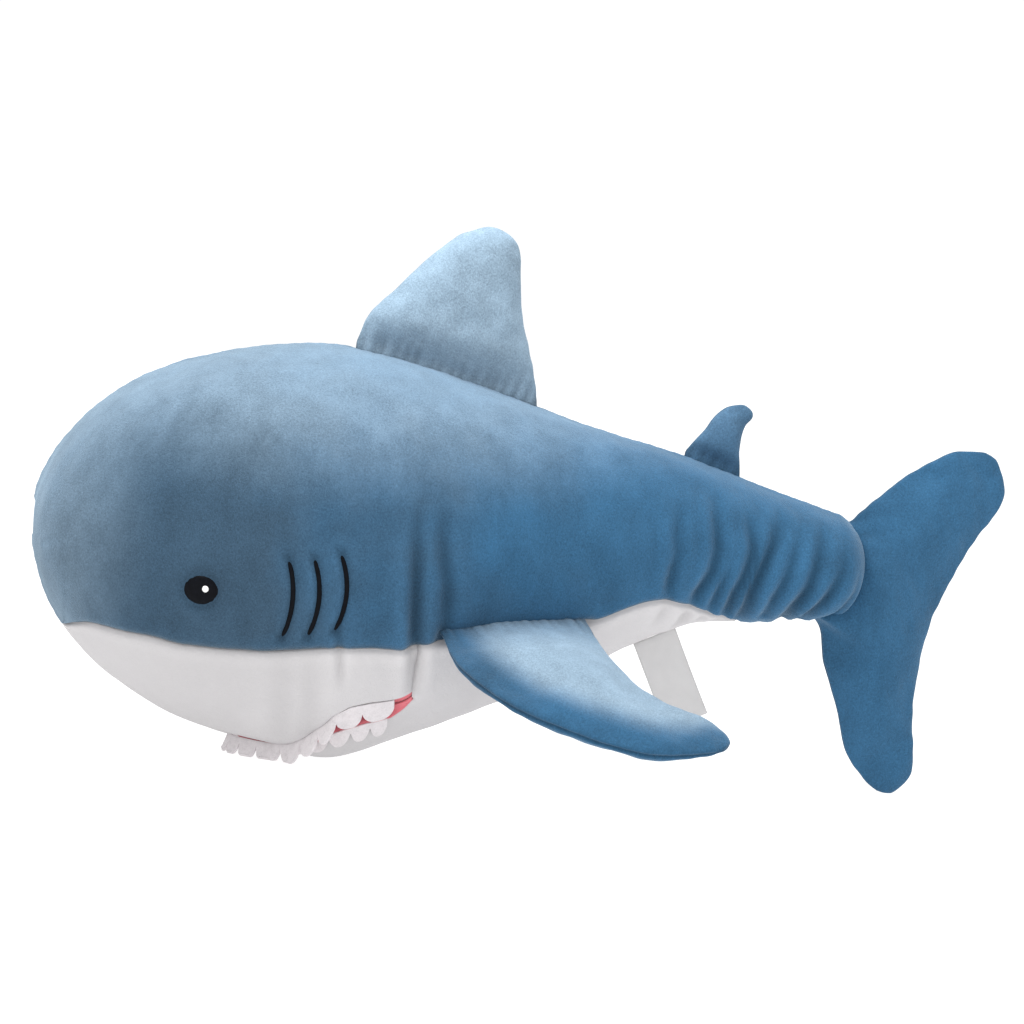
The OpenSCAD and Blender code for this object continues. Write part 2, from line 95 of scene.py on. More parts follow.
# Body sections: x, top, bottom, half width
TRUNK = (
    (-150, BACK_Z - 1.6, 6.8, HALF_WIDTH - 0.6), (-120, BACK_Z, CHIN_Z, HALF_WIDTH),
    (-70, 243, 17, 101), (-20, 230.5, 39, 88), (30, 216, 61, 73), (75, 206.5, 85, 61),
    (105, 199, 98, 52), (145, 187, 102.5, 42), (190, 174, 107.5, 36), (215, 167, 110, 33),
)
# Height of the seam between blue and white: x, z
SIDE_SEAM = (
    (-272, 73.5), (-262, 77), (-250, 76.3), (-225, 74.3), (-205, 71), (-165, 71), (-125, 76), (-100, 77.5),
    (-78, 78), (-57, 84),
    (34, 98), (60, 109), (78, 114), (97, 111), (108, 107),
)
CHIN_X = -277
WHITE_X = -272
WHITE_END_X = 98
WHITE_TIP_X = 138
# The white fabric's end under the tail: x, angle of its seam
WHITE_TAIL = ((98, 134.5), (106, 141.5), (114, 149.5), (120, 155), (125, 159.5), (131, 166), (138, 180))
# Mouth edges as shares of the white fabric's half width: x, upper lip, gap to the lower lip
LIPS = ((-300, 0.79, 0.10), (-150, 0.79, 0.10), (-138, 0.68, 0.11), (-124, 0.46, 0.13), (-115, 0.345, 0.135),
        (-106, 0.295, 0.145), (-94, 0.285, 0.135), (-81, 0.285, 0.125), (-74, 0.28, 0.08), (-70, 0.28, 0.03),
        (300, 0.28, 0.02))
LIP_X = -150
JAW_X = -144
CORNER_X = -70
LIP_BOW = ((-200, 0), (-150, 22), (-140, 22), (-100, 0))
LIP_ARC = 14

# Where the scallops of the teeth meet: 0 at the mouth's corner, 1 at the front, 2 in the middle
UPPER_TEETH = (0.13, 0.37, 0.55, 0.66, 0.77, 0.90, 1.10, 1.40, 1.70, 2.0)
LOWER_TEETH = (0.17, 0.31, 0.46, 0.62, 0.75, 0.88, 1.1, 1.4, 1.7)

EYE = (-199, 105)
EYE_SIZE = (21, 18)
GLINT = (EYE[0] + 2.7, EYE[1] + 1.2)
GLINT_SIZE = (4.6, 4.8)
# Gill lines: x of the ends, bow towards the tail, top, bottom
GILLS = ((-150.5, 4, 126, 81), (-136, 4.5, 128, 83), (-121, 5, 132, 87))

# The short dart beside the nose: x and angle of its points
NOSE_DART = ((-291, -282, -272), (108, 99, 95))

# Folds of the fabric on the left side: points (x, angle from the back), depth, width
FOLDS = (
    (((-78, 72), (-77, 86), (-76, 95), (-73, 111), (-70, 127), (-70, 131)),
     (0, 1.4, 2.6, 3.2, 3.0, 1.6), 4.2),
    (((-65, 74), (-62, 87), (-57, 98), (-55, 108), (-57, 113)), (0, 1.4, 2.2, 2.2, 1), 4.6),
    (((-119, 107), (-117, 112), (-115, 119), (-113, 127)), (0.6, 2.0, 1.6, 0), 2.4),
    (((-150, 113), (-146, 131), (-143, 149)), (0.5, 1.1, 0.6), 7),
    (((-134, 113), (-131, 128), (-129, 145)), (0.5, 1.0, 0.8), 6),
    (((-100, 95), (-98, 108), (-97, 120)), (0, 0.7, 0), 7),
    (((84, 62), (83, 86), (85, 94), (82, 110), (83, 123), (80, 140)), (0, 1.1, 1.7, 2.0, 2.4, 1), 4),
    (((106, 48), (108, 72), (111, 92), (109, 107), (102, 122), (99, 136), (96, 160)),
     (0, 1.3, 2.3, 2.7, 2.9, 2.6, 1.5), 4.2),
    (((118, 90), (119, 104), (116, 119), (113, 137), (110, 160)), (0, 1.2, 2.4, 2.8, 1.5), 3.6),
    (((128, 56), (132, 78), (134, 89), (131, 106), (126, 124), (124, 146), (122, 170)),
     (0, 1.7, 2.5, 3.0, 3.4, 3.2, 2), 4),
    (((150, 38), (150, 60), (147, 80), (142, 97), (137, 119), (135, 150), (134, 175)),
     (0, 1.4, 2.6, 3.2, 3.6, 3.2, 2), 4.2),
    (((163, 60), (161, 84), (157, 104), (152, 124), (149, 150)), (0, 1.0, 1.8, 2.4, 1.4), 3.4),
    (((178, 42), (178, 67), (176, 89), (172, 113), (166, 136), (164, 152), (164, 175)),
     (0, 1.3, 2.2, 2.8, 3.4, 3, 2), 4.2),
    (((193, 66), (192, 96), (185, 122), (178, 148), (174, 172)), (0, 1.4, 2.8, 2.8, 2), 3.6),
    (((204, 92), (203, 119), (197, 150), (188, 172)), (0, 1.4, 2.4, 2), 3.2),
)

# Fin outlines as rows (share, front x, front z, rear x, rear z) from the root to the tip
DORSAL = ((0, -113, 254, -1, 228.5), (0.2, -106, 271, -7, 252), (0.4, -93, 287, -13.5, 275),
          (0.6, -79, 303, -17, 298), (0.8, -62, 320, -19, 317), (1, -46, 332.5, -25, 330.5))
REAR_DORSAL = ((0, 96, 204, 129, 194), (0.35, 106, 217, 128, 209), (0.7, 115.5, 230, 130.5, 223),
               (1, 127, 239, 139, 230.5))
CAUDAL = (
    (0, 279, 223.5, 302, 212), (0.08, 261, 215, 299.5, 188), (0.16, 240, 202, 285.5, 164),
    (0.24, 222, 187, 274, 142), (0.31, 207, 172, 267, 126), (0.38, 210, 159, 262, 113),
    (0.45, 217, 141, 259, 101), (0.52, 213, 124, 257, 90), (0.59, 203, 115, 256, 78),
    (0.66, 192, 110, 254.5, 64), (0.75, 194, 82, 254.5, 48), (0.84, 204.5, 53, 256.5, 31),
    (0.92, 214, 25, 257.5, 15), (1, 227, 1, 254, -3),
)
PECTORAL = (
    (0, 0, 0, 94, 0), (0.15, -2, 26, 92, 30), (0.3, 3, 48, 94, 57), (0.5, 17, 77, 99, 76),
    (0.7, 44, 107, 109, 91), (0.85, 72, 127, 120, 101), (1, 113, 139, 137, 119),
)
PECTORAL_FRONT = np.array((-57.0, -94.0, 88.0))
PECTORAL_REAR = np.array((34.0, -65.0, 98.0))
PECTORAL_TIP = np.array((101.0, -165.0, 43.0))
PECTORAL_SPAN = 130
# The tail fin's root, where it comes out of the stock's end
CAUDAL_ROOT = ((209, 0, 172), (213, 0, 158), (214, 0, 141), (211, 0, 122), (205, 0, 110))
ROOT_TUCK = 22
TIP_ROUND = 0.965
ROOT_REACH = 5
FAR_SWEEP = 13
LABEL_CORNER = (73, 0, 82.5)
LABEL_TURN = -26
LABEL_SIZE = (28, 58)
# The closing stitches: x of each, where they start and how long they are
CLOSING = (-35, -27, -19, -11, -3, 5, 13)
CLOSING_Z = 65.5
CLOSING_LEN = 7
# How far above the floor the fabric's outside stays, and the teeth
FABRIC_LOW = 0.4
TEETH_LOW = 1.0

# Number of mesh cells over the body's panels
SIDE_COLS = 96
STRIP_COLS = 34
LIP_COLS = 12
JAW_COLS = 26
STEP = 2.2
CHIN_STATIONS = np.linspace(CHIN_X, WHITE_X, 6)[1:-1]
EDGE_STEP = 1.2
PUFF_FRAMES = 20

# ---------- the room: measures in metres ----------

ROOM_LIGHT = 1.04
FLOOR_HALF = 60.0
FLOOR_TONES = ((0.3, (0.335, 0.335, 0.335)), (0.7, (0.355, 0.355, 0.355)))
FLOOR_GLOW = 0.86
# Lamps: name, place, aim, size, power
LAMPS = (
    ("head_softbox", (-0.32, -0.22, 1.0), (-0.12, 0, 0.2), 0.6, 10.2),
    ("front_softbox", (-0.9, -1.6, 1.1), (0, 0, 0.15), 1.0, 0.8),
)
# Camera: azimuth, elevation and roll in degrees
CAMERA_ANGLES = (-8, 3, 4.86)
CAMERA_DISTANCE = 1.749
CAMERA_TARGET = (-0.0098, 0, 0.1584)
CAMERA_LENS = 100
CAMERA_SENSOR = 36


# ---------- curves and the skin ----------


def lerp(a, b, t):
    """From a at t = 0 to b at t = 1."""
    return a + (b - a) * t


def ramp(t, low=0.0, high=1.0):
    """Smooth step of t from low to high."""
    u = np.clip((np.asarray(t, float) - low) / (high - low), 0, 1)
    return u * u * (3 - 2 * u)


def bell(d, width):
    """A bump of height 1 that dies out over about width."""
    return np.exp(-((d / width) ** 2))


def unit(v):
    """Vectors of length 1."""
    v = np.asarray(v, float)
    return v / np.maximum(np.linalg.norm(v, axis=-1, keepdims=True), 1e-12)


def smooth_curve(rows, x, column):
    """Smooth curve through a column of a table whose first column is the position."""
    table = np.array(rows, float)
    at, value, n = table[:, 0], table[:, column], len(table)
    before, after = np.maximum(np.arange(n) - 1, 0), np.minimum(np.arange(n) + 1, n - 1)
    slope = (value[after] - value[before]) / (at[after] - at[before])
    x = np.asarray(x, float)
    i = np.clip(np.searchsorted(at, x, "right") - 1, 0, n - 2)
    h = at[i + 1] - at[i]
    u = (x - at[i]) / h
    return ((2 * u**3 - 3 * u**2 + 1) * value[i] + (u**3 - 2 * u**2 + u) * h * slope[i]
            + (3 * u**2 - 2 * u**3) * value[i + 1] + (u**3 - u**2) * h * slope[i + 1])


def between(rows, x, column=1):
    """Straight-line reading of a table's column."""
    table = np.array(rows, float)
    return np.interp(x, table[:, 0], table[:, column])


def head_share(x, n):
    """How wide the head is at x, from 0 at the nose to 1 behind it."""
    return np.maximum(0, 1 - np.maximum(0, (HEAD_X - x) / HEAD_LEN) ** n) ** (1 / n)


def section(x):
    """Top, bottom and half width of the body at x."""
    x = np.asarray(x, float)
    cap = np.where(x < CAP_X, 1, np.sqrt(np.maximum(0, 1 - ((x - CAP_X) / CAP_LEN) ** 2)))
    drop = BELLY_DROP * bell(x - BELLY_X, BELLY_REACH)
    share = head_share(x, 2)
    head = x < HEAD_X
    top = np.where(head, NOSE_Z + (BACK_Z - NOSE_Z) * share, lerp(CAP_Z, smooth_curve(TRUNK, x, 1), cap))
    low = np.where(head, NOSE_Z - (NOSE_Z - CHIN_Z) * share - drop,
                   lerp(CAP_Z, smooth_curve(TRUNK, x, 2) - drop, cap))
    half = np.where(head, HALF_WIDTH * head_share(x, 2.4), smooth_curve(TRUNK, x, 3) * cap)
    return top, low, half


def skin(x, a):
    """Points of the skin at x and angle a: 0 on the back, 90 left, 180 below, 270 right."""
    x, a = np.broadcast_arrays(np.asarray(x, float), np.asarray(a, float))
    top, low, half = section(x)
    middle = top - WIDEST * (top - low)
    c, s = np.cos(np.radians(a)), np.sin(np.radians(a))
    n = np.where(c > 0, TOP_N, LOW_N)
    height = np.where(c > 0, top - middle, middle - low)
    y = -half * np.sign(s) * np.abs(s) ** (2 / n)
    z = np.maximum(0, middle + np.sign(c) * height * np.abs(c) ** (2 / n))
    return np.stack([x, y, z], -1)


def angle_at(x, z):
    """Angle of the left side's point at x and height z, below the widest point."""
    top, low, _ = section(x)
    middle = top - WIDEST * (top - low)
    share = np.clip((middle - z) / np.maximum(middle - low, 1e-6), 0, 1)
    return np.degrees(np.arccos(-share ** (LOW_N / 2)))


def side_angle(x, z):
    """Angle of the left side's point at x and height z, anywhere on that side."""
    top, low, _ = section(x)
    middle = top - WIDEST * (top - low)
    share = np.clip((z - middle) / np.maximum(top - middle, 1e-6), 0, 1)
    return np.where(z > middle, np.degrees(np.arccos(share ** (TOP_N / 2))), angle_at(x, z))


def skin_normal(x, a):
    """The way out of the skin at x and a."""
    x, a = np.broadcast_arrays(np.asarray(x, float), np.asarray(a, float))
    lo = np.clip(x - 0.5, NOSE_X + 0.3, STOCK_END_X - 1.1)
    hi = np.clip(x + 0.5, NOSE_X + 1.3, STOCK_END_X - 0.1)
    around = skin(lo, a + 1) + skin(hi, a + 1) - skin(lo, a - 1) - skin(hi, a - 1)
    return unit(np.cross(around, skin(hi, a) - skin(lo, a)))


def on_skin(x, a, lift=0.0):
    """Points above the plain skin."""
    return skin(x, a) + np.asarray(lift)[..., None] * skin_normal(x, a)


def on_fabric(x, a, lift):
    """Points on the sewn skin, folds and all."""
    points = skin(x, a)
    relief = body_relief(points.reshape(-1, 3))[0].reshape(points.shape[:-1])
    return points + (relief + lift)[..., None] * skin_normal(x, a)


def seam_angle(x):
    """Angle of the seam between blue and white. It closes under the chin and under the tail."""
    x = np.asarray(x, float)
    inner = np.clip(x, WHITE_X, WHITE_END_X)
    open_angle = angle_at(inner, smooth_curve(SIDE_SEAM, inner, 1))
    chin = np.sqrt(np.clip((x - CHIN_X) / (WHITE_X - CHIN_X), 0, 1))
    tail = smooth_curve(WHITE_TAIL, np.clip(x, WHITE_END_X, WHITE_TIP_X), 1)
    open_angle = np.where(x > WHITE_END_X, tail, open_angle)
    return np.minimum(180, 180 - (180 - open_angle) * chin)


def bow(x, a):
    """How far the lips bow forward at the middle."""
    d = np.abs(a - 180)
    return np.where(d > LIP_ARC, 0, (1 - (d / LIP_ARC) ** 2) * between(LIP_BOW, x))


def lip_angle(x, jaw):
    """Angle of the upper lip's edge, or of the lower one's."""
    s = seam_angle(x)
    return s + (180 - s) * (between(LIPS, x, 1) + (between(LIPS, x, 2) if jaw else 0))


def stations(low, high, *keys):
    """Places along the body about STEP apart along the skin, with the key places among them."""
    head = HEAD_X - HEAD_LEN * np.cos(np.linspace(0, math.pi / 2, 112))
    trunk = np.arange(HEAD_X, CAP_X, STEP)
    cap = CAP_X + CAP_LEN * np.sin(np.linspace(0, math.pi / 2, 20))
    keys = np.array([low, high, *keys], float)
    x = np.concatenate([head, trunk, cap])
    x = x[(x > low) & (x < high)]
    x = x[np.abs(x[:, None] - keys[None]).min(1) > STEP / 3]
    return np.sort(np.concatenate([x, np.unique(keys)]))


def eased(count, share=0.5):
    """Shares from 0 to 1, closer together near both ends."""
    k = np.linspace(0, 1, count + 1)
    return lerp(k, 0.5 - 0.5 * np.cos(math.pi * k), share)


# ---------- fabric relief ----------


def near_line(points, line):
    """Distance from each point to a line of points, and the share of the way along it."""
    line = np.asarray(line, float)
    steps = np.linalg.norm(np.diff(line, axis=0), axis=1)
    along = np.concatenate([[0], np.cumsum(steps)]) / max(steps.sum(), 1e-9)
    best = np.full(len(points), 1e9)
    share = np.zeros(len(points))
    for k in range(len(line) - 1):
        d = line[k + 1] - line[k]
        t = np.clip((points - line[k]) @ d / max(d @ d, 1e-12), 0, 1)
        dist = np.linalg.norm(points - line[k] - t[:, None] * d, axis=1)
        closer = dist < best
        best[closer] = dist[closer]
        share[closer] = lerp(along[k], along[k + 1], t[closer])
    return best, share


def lumps(points, size, seed):
    """Gentle unevenness about size apart, from -1 to 1."""
    rng = np.random.default_rng(seed)
    total = np.zeros(len(points))
    for _ in range(9):
        way = unit(rng.normal(size=3)) * rng.uniform(0.7, 1.4)
        total += np.sin(points @ way * (2 * math.pi / size) + rng.uniform(0, 6.28))
    return total / 4.2


def fold_relief(points, line, depth, width):
    """A fold along a line: how deep its valley is and how high the ridges on its sides are."""
    d, t = near_line(points, line)
    deep = np.interp(t, np.linspace(0, 1, len(depth)), depth)
    return deep * bell(d, width), 0.5 * deep * bell(d - 1.9 * width, 1.25 * width)


def gathers(t, d, pitch, length, reach, seed):
    """Little folds that run away from a seam: t is along it and d is away from it."""
    rng = np.random.default_rng(seed)
    count = max(2, int(length / pitch))
    knots = np.linspace(0, 1, count + 1) + rng.uniform(-0.25, 0.25, count + 1) / count
    strength = rng.uniform(0.45, 1.0, count + 1)
    spread = 0.27 / count * (1 + d / reach * 0.5)
    total = np.zeros(len(t))
    for knot, strong in zip(knots, strength):
        total -= strong * np.exp(-(((t - knot) / spread) ** 2)) * np.exp(-d / (reach * (0.6 + 0.6 * strong)))
    return total


def fold_lines():
    """The folds on the left side, and the same on the right a little further back."""
    lines = []
    for points, depth, width in FOLDS:
        x, a = np.array(points, float).T
        fine = np.linspace(0, 1, 25)
        k = np.linspace(0, 1, len(x))
        left = skin(np.interp(fine, k, x), np.interp(fine, k, a))
        lines.append((left, depth, width))
        right = skin(np.minimum(np.interp(fine, k, x) + 3, STOCK_END_X - 1), 360 - np.interp(fine, k, a))
        lines.append((right, [0.85 * v for v in depth], width * 1.1))
    return lines


def gill_line(gill, share):
    """x and z along a gill line, from its lower end to its upper one."""
    x, curve, top, low = gill
    return x + 4 * curve * share * (1 - share), lerp(low, top, share)


def root_lines():
    """Where the fins are sewn into the body."""
    dorsal_x = np.linspace(DORSAL[0][1] + 2, DORSAL[0][3], 16)
    rear_x = np.linspace(REAR_DORSAL[0][1], REAR_DORSAL[0][3], 8)
    x, z = np.linspace((PECTORAL_FRONT[0], PECTORAL_FRONT[2]), (PECTORAL_REAR[0], PECTORAL_REAR[2]), 16).T
    pectoral = skin(x, angle_at(x, z))
    return {"dorsal": skin(dorsal_x, 0), "rear_dorsal": skin(rear_x, 0),
            "pectoral_left": pectoral, "pectoral_right": pectoral * (1, -1, 1)}


def body_relief(points):
    """How far the body's fabric stands out from its plain shape, and where painted shade and painted
    highlight go on it.
    """
    offset = 1.1 * lumps(points, 75, 3) + 0.35 * lumps(points, 26, 5)
    valley, ridge = np.zeros(len(points)), np.zeros(len(points))
    for line, depth, width in fold_lines():
        deep, high = fold_relief(points, line, depth, width)
        valley, ridge = np.maximum(valley, deep), np.maximum(ridge, high)
    seam_x = np.linspace(40, WHITE_TIP_X, 60)
    for side in (1, -1):
        line = skin(seam_x, seam_angle(seam_x)) * (1, side, 1)
        calm = 1 - 0.7 * bell(near_line(points, line)[0], 7)
        valley, ridge = valley * calm, ridge * calm
    ridge = ridge * (1 - np.minimum(valley / 2, 1))
    offset += ridge - valley
    # Painted shade darkens the fold valleys and painted highlight lightens their ridges.
    painted_mark = np.minimum(valley / 3, 1) - 0.45 * np.minimum(ridge / 1.5, 1)
    for side in (1, -1):
        for gill in GILLS:
            x, z = gill_line(gill, np.linspace(0, 1, 12))
            line = on_skin(x, side_angle(x, z)) * (1, side, 1)
            d, _ = near_line(points, line)
            offset += 0.9 * bell(d - 5, 2.6) - 1.5 * bell(d, 2.6)
            # Painted shade along the gill line's groove.
            painted_mark += 0.7 * bell(d, 3.2)
            # Painted highlight just ahead of the gill line.
            ahead, _ = near_line(points, line - (4.2, 0, 0))
            painted_mark -= 0.45 * bell(ahead, 1.6)
        centre = skin(EYE[0], side_angle(EYE[0], EYE[1])) * (1, side, 1)
        r = np.linalg.norm(points - centre, axis=1)
        offset += 0.5 * bell(r - 14.5, 2.8) - 0.9 * bell(r - 9.5, 2.4)
        # Painted shade in the ring round the eye.
        painted_mark += 0.35 * bell(r - 10.5, 2)
    for name, line in root_lines().items():
        d, t = near_line(points, line)
        small = name == "rear_dorsal"
        length = np.linalg.norm(np.diff(line, axis=0), axis=1).sum()
        folds = gathers(t, d, 9, length, 7, len(name))
        offset += (0.3 if small else 0.9) * folds - (1.2 if small else 2.6) * bell(d, 3 if small else 4.5)
        # Painted shade along the fin's root and in its gathers.
        painted_mark += 0.5 * bell(d, 3 if small else 6) - 0.35 * folds
    return offset, painted_mark


def seam_relief(d, along, seed):
    """The fabric turns in at a seam, and puckers beside it."""
    rng = np.random.default_rng(seed)
    wander = 1.6 * np.sin(along / 23 + rng.uniform(0, 6)) + 0.9 * np.sin(along / 9.1 + rng.uniform(0, 6))
    pucker = np.sin((along + wander) * (2 * math.pi / 8.5)) * np.exp(-d / 6) * (1 - np.exp(-d / 1.2))
    return 0.55 * bell(d - 5.5, 3.6) - 2.1 * bell(d, 1.9) + 0.32 * pucker


def arc_length(grid, axis):
    """Distance along the rows or the columns of a grid of points."""
    steps = np.linalg.norm(np.diff(grid, axis=axis), axis=-1)
    zero = np.zeros_like(np.take(steps, [0], axis=axis))
    return np.concatenate([zero, np.cumsum(steps, axis=axis)], axis=axis)


# ---------- making pieces ----------


def grid_faces(rows, cols, keep=None):
    """Faces of a grid of points; keep says which of them are made."""
    i, j = np.meshgrid(np.arange(rows - 1), np.arange(cols - 1), indexing="ij")
    if keep is not None:
        i, j = i[keep], j[keep]
    first = (i * cols + j).ravel()
    return np.stack([first, first + 1, first + cols + 1, first + cols], -1)


def make_piece(name, points, faces, material, flip=False, merge=0.05, painted_marks=None):
    """A smooth mesh object from points in millimetres. The given values say where painted shade and painted
    highlight go on it.
    """
    points = np.asarray(points, float).reshape(-1, 3)
    faces = np.asarray(faces)
    used, faces = np.unique(faces, return_inverse=True)
    faces = faces.reshape(-1, 4)
    if flip:
        faces = faces[:, ::-1]
    mesh = bpy.data.meshes.new(name)
    mesh.from_pydata((points[used] * MM).tolist(), [], faces.tolist())
    if painted_marks is not None:
        set_painted_light(mesh, np.ravel(painted_marks)[used])
    bm = bmesh.new()
    bm.from_mesh(mesh)
    bmesh.ops.remove_doubles(bm, verts=bm.verts, dist=merge * MM)
    bmesh.ops.dissolve_degenerate(bm, edges=bm.edges, dist=merge * MM / 2)
    bm.to_mesh(mesh)
    bm.free()
    mesh.shade_smooth()
    piece = bpy.data.objects.new(name, mesh)
    bpy.context.scene.collection.objects.link(piece)
    mesh.materials.append(material)
    return piece


def joined(name, grids, material, flip=False):
    """Several grids of points as one piece."""
    points, faces, base = [], [], 0
    for grid in grids:
        rows, cols = grid.shape[:2]
        faces.append(grid_faces(rows, cols) + base)
        points.append(grid.reshape(-1, 3))
        base += rows * cols
    return make_piece(name, np.concatenate(points), np.concatenate(faces), material, flip=flip)


def set_painted_light(mesh, painted_marks, name="painted_shade"):
    """Painted light and shade on the fabric, kept on the mesh: the shade values are 1 where painted shade
    darkens a fold, seam or recess and below 0 where a painted highlight lightens a ridge, and the light
    values are 1 where painted light lightens the plush."""
    layer = mesh.attributes.new(name, "FLOAT", "POINT")
    layer.data.foreach_set("value", np.asarray(painted_marks, np.float32))


def thicken(piece, thickness, offset=-1.0, soft_edge=0.0):
    """Real fabric thickness, with softened edges where wanted, applied to the mesh."""
    solid = piece.modifiers.new("fabric", "SOLIDIFY")
    solid.thickness = thickness * MM
    solid.offset = offset
    solid.use_even_offset = False
    if soft_edge:
        soft = piece.modifiers.new("soft_edge", "BEVEL")
        soft.width = soft_edge * MM
        soft.segments = 2
        soft.limit_method = "ANGLE"
    return bake_modifiers(piece)


def bake_modifiers(piece):
    """The piece's mesh with its modifiers applied."""
    seen = piece.evaluated_get(bpy.context.evaluated_depsgraph_get())
    mesh = bpy.data.meshes.new_from_object(seen)
    piece.modifiers.clear()
    piece.data = mesh
    mesh.shade_smooth()
    return piece


def finish_piece(piece, slot, body, *nodes):
    """Hides the imported parts that the piece stands for and, when a body is given, hangs the piece on it;
    slot is not used.
    """
    if nodes:
        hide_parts(*nodes)
    if body:
        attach(piece, body)
    return piece


# ---------- materials ----------


def new_material(name):
    """A new material with its tree, its shader and the object's coordinates, or only an old one."""
    material = bpy.data.materials.get(name)
    if material:
        return material, None, None, None
    material = bpy.data.materials.new(name)
    material.use_nodes = True
    tree = material.node_tree
    place = tree.nodes.new("ShaderNodeTexCoord").outputs["Object"]
    return material, tree, tree.nodes["Principled BSDF"], place


def set_inputs(node, values):
    """Gives a node's inputs their values, by name."""
    for name, value in values.items():
        node.inputs[name].default_value = value


def noise(tree, place, scale, detail=2.0, rough=0.5, stretch=None):
    """Random spots, finer with a greater scale."""
    node = tree.nodes.new("ShaderNodeTexNoise")
    set_inputs(node, {"Scale": scale, "Detail": detail, "Roughness": rough})
    if stretch:
        mapping = tree.nodes.new("ShaderNodeMapping")
        mapping.inputs["Scale"].default_value = stretch
        tree.links.new(place, mapping.inputs["Vector"])
        place = mapping.outputs["Vector"]
    tree.links.new(place, node.inputs["Vector"])
    return node.outputs["Fac"]


def feed(tree, value, socket):
    """Links an output to a socket, or gives the socket a number or a colour."""
    if isinstance(value, (int, float, tuple)):
        socket.default_value = value
    else:
        tree.links.new(value, socket)


def math_node(tree, operation, a, b):
    """One sum or product of two outputs or numbers."""
    node = tree.nodes.new("ShaderNodeMath")
    node.operation = operation
    for socket, value in zip(node.inputs, (a, b)):
        feed(tree, value, socket)
    return node.outputs[0]


def weighted(tree, *parts):
    """The sum of outputs, each times its weight."""
    total = None
    for output, weight in parts:
        part = math_node(tree, "MULTIPLY", output, weight)
        total = part if total is None else math_node(tree, "ADD", total, part)
    return total


def map_range(tree, value, source=(0.0, 1.0), target=(0.0, 1.0), curve="LINEAR"):
    """The value carried over from one range to another."""
    node = tree.nodes.new("ShaderNodeMapRange")
    node.interpolation_type = curve
    set_inputs(node, dict(zip(("From Min", "From Max", "To Min", "To Max"), (*source, *target))))
    tree.links.new(value, node.inputs["Value"])
    return node.outputs["Result"]


def mix_colours(tree, first, second, factor=1.0, blend="MIX"):
    """The second colour laid over the first one."""
    node = tree.nodes.new("ShaderNodeMix")
    node.data_type = "RGBA"
    node.blend_type = blend
    for name, value in (("Factor", factor), ("A", first), ("B", second)):
        feed(tree, value, node.inputs[name])
    return node.outputs["Result"]


def painted_light_mark(tree, name):
    """Painted light or painted shade kept on the mesh."""
    layer = tree.nodes.new("ShaderNodeAttribute")
    layer.attribute_name = name
    return layer.outputs["Fac"]


def colour_ramp(tree, factor, stops):
    """Colours between the stops, each with its place and its colour."""
    node = tree.nodes.new("ShaderNodeValToRGB")
    elements = node.color_ramp.elements
    while len(elements) < len(stops):
        elements.new(0.5)
    for element, (place, colour) in zip(elements, stops):
        element.position = place
        element.color = (*colour, 1)
    tree.links.new(factor, node.inputs["Fac"])
    return node.outputs["Color"]


def add_bump(tree, shader, height, distance, strength):
    """Fine relief in the fabric's surface."""
    bump = tree.nodes.new("ShaderNodeBump")
    set_inputs(bump, {"Distance": distance * MM, "Strength": strength})
    tree.links.new(height, bump.inputs["Height"])
    tree.links.new(bump.outputs["Normal"], shader.inputs["Normal"])


def tinted(colour, share):
    """The colour darker or lighter by a share."""
    return tuple(min(1.0, c * share) for c in colour)


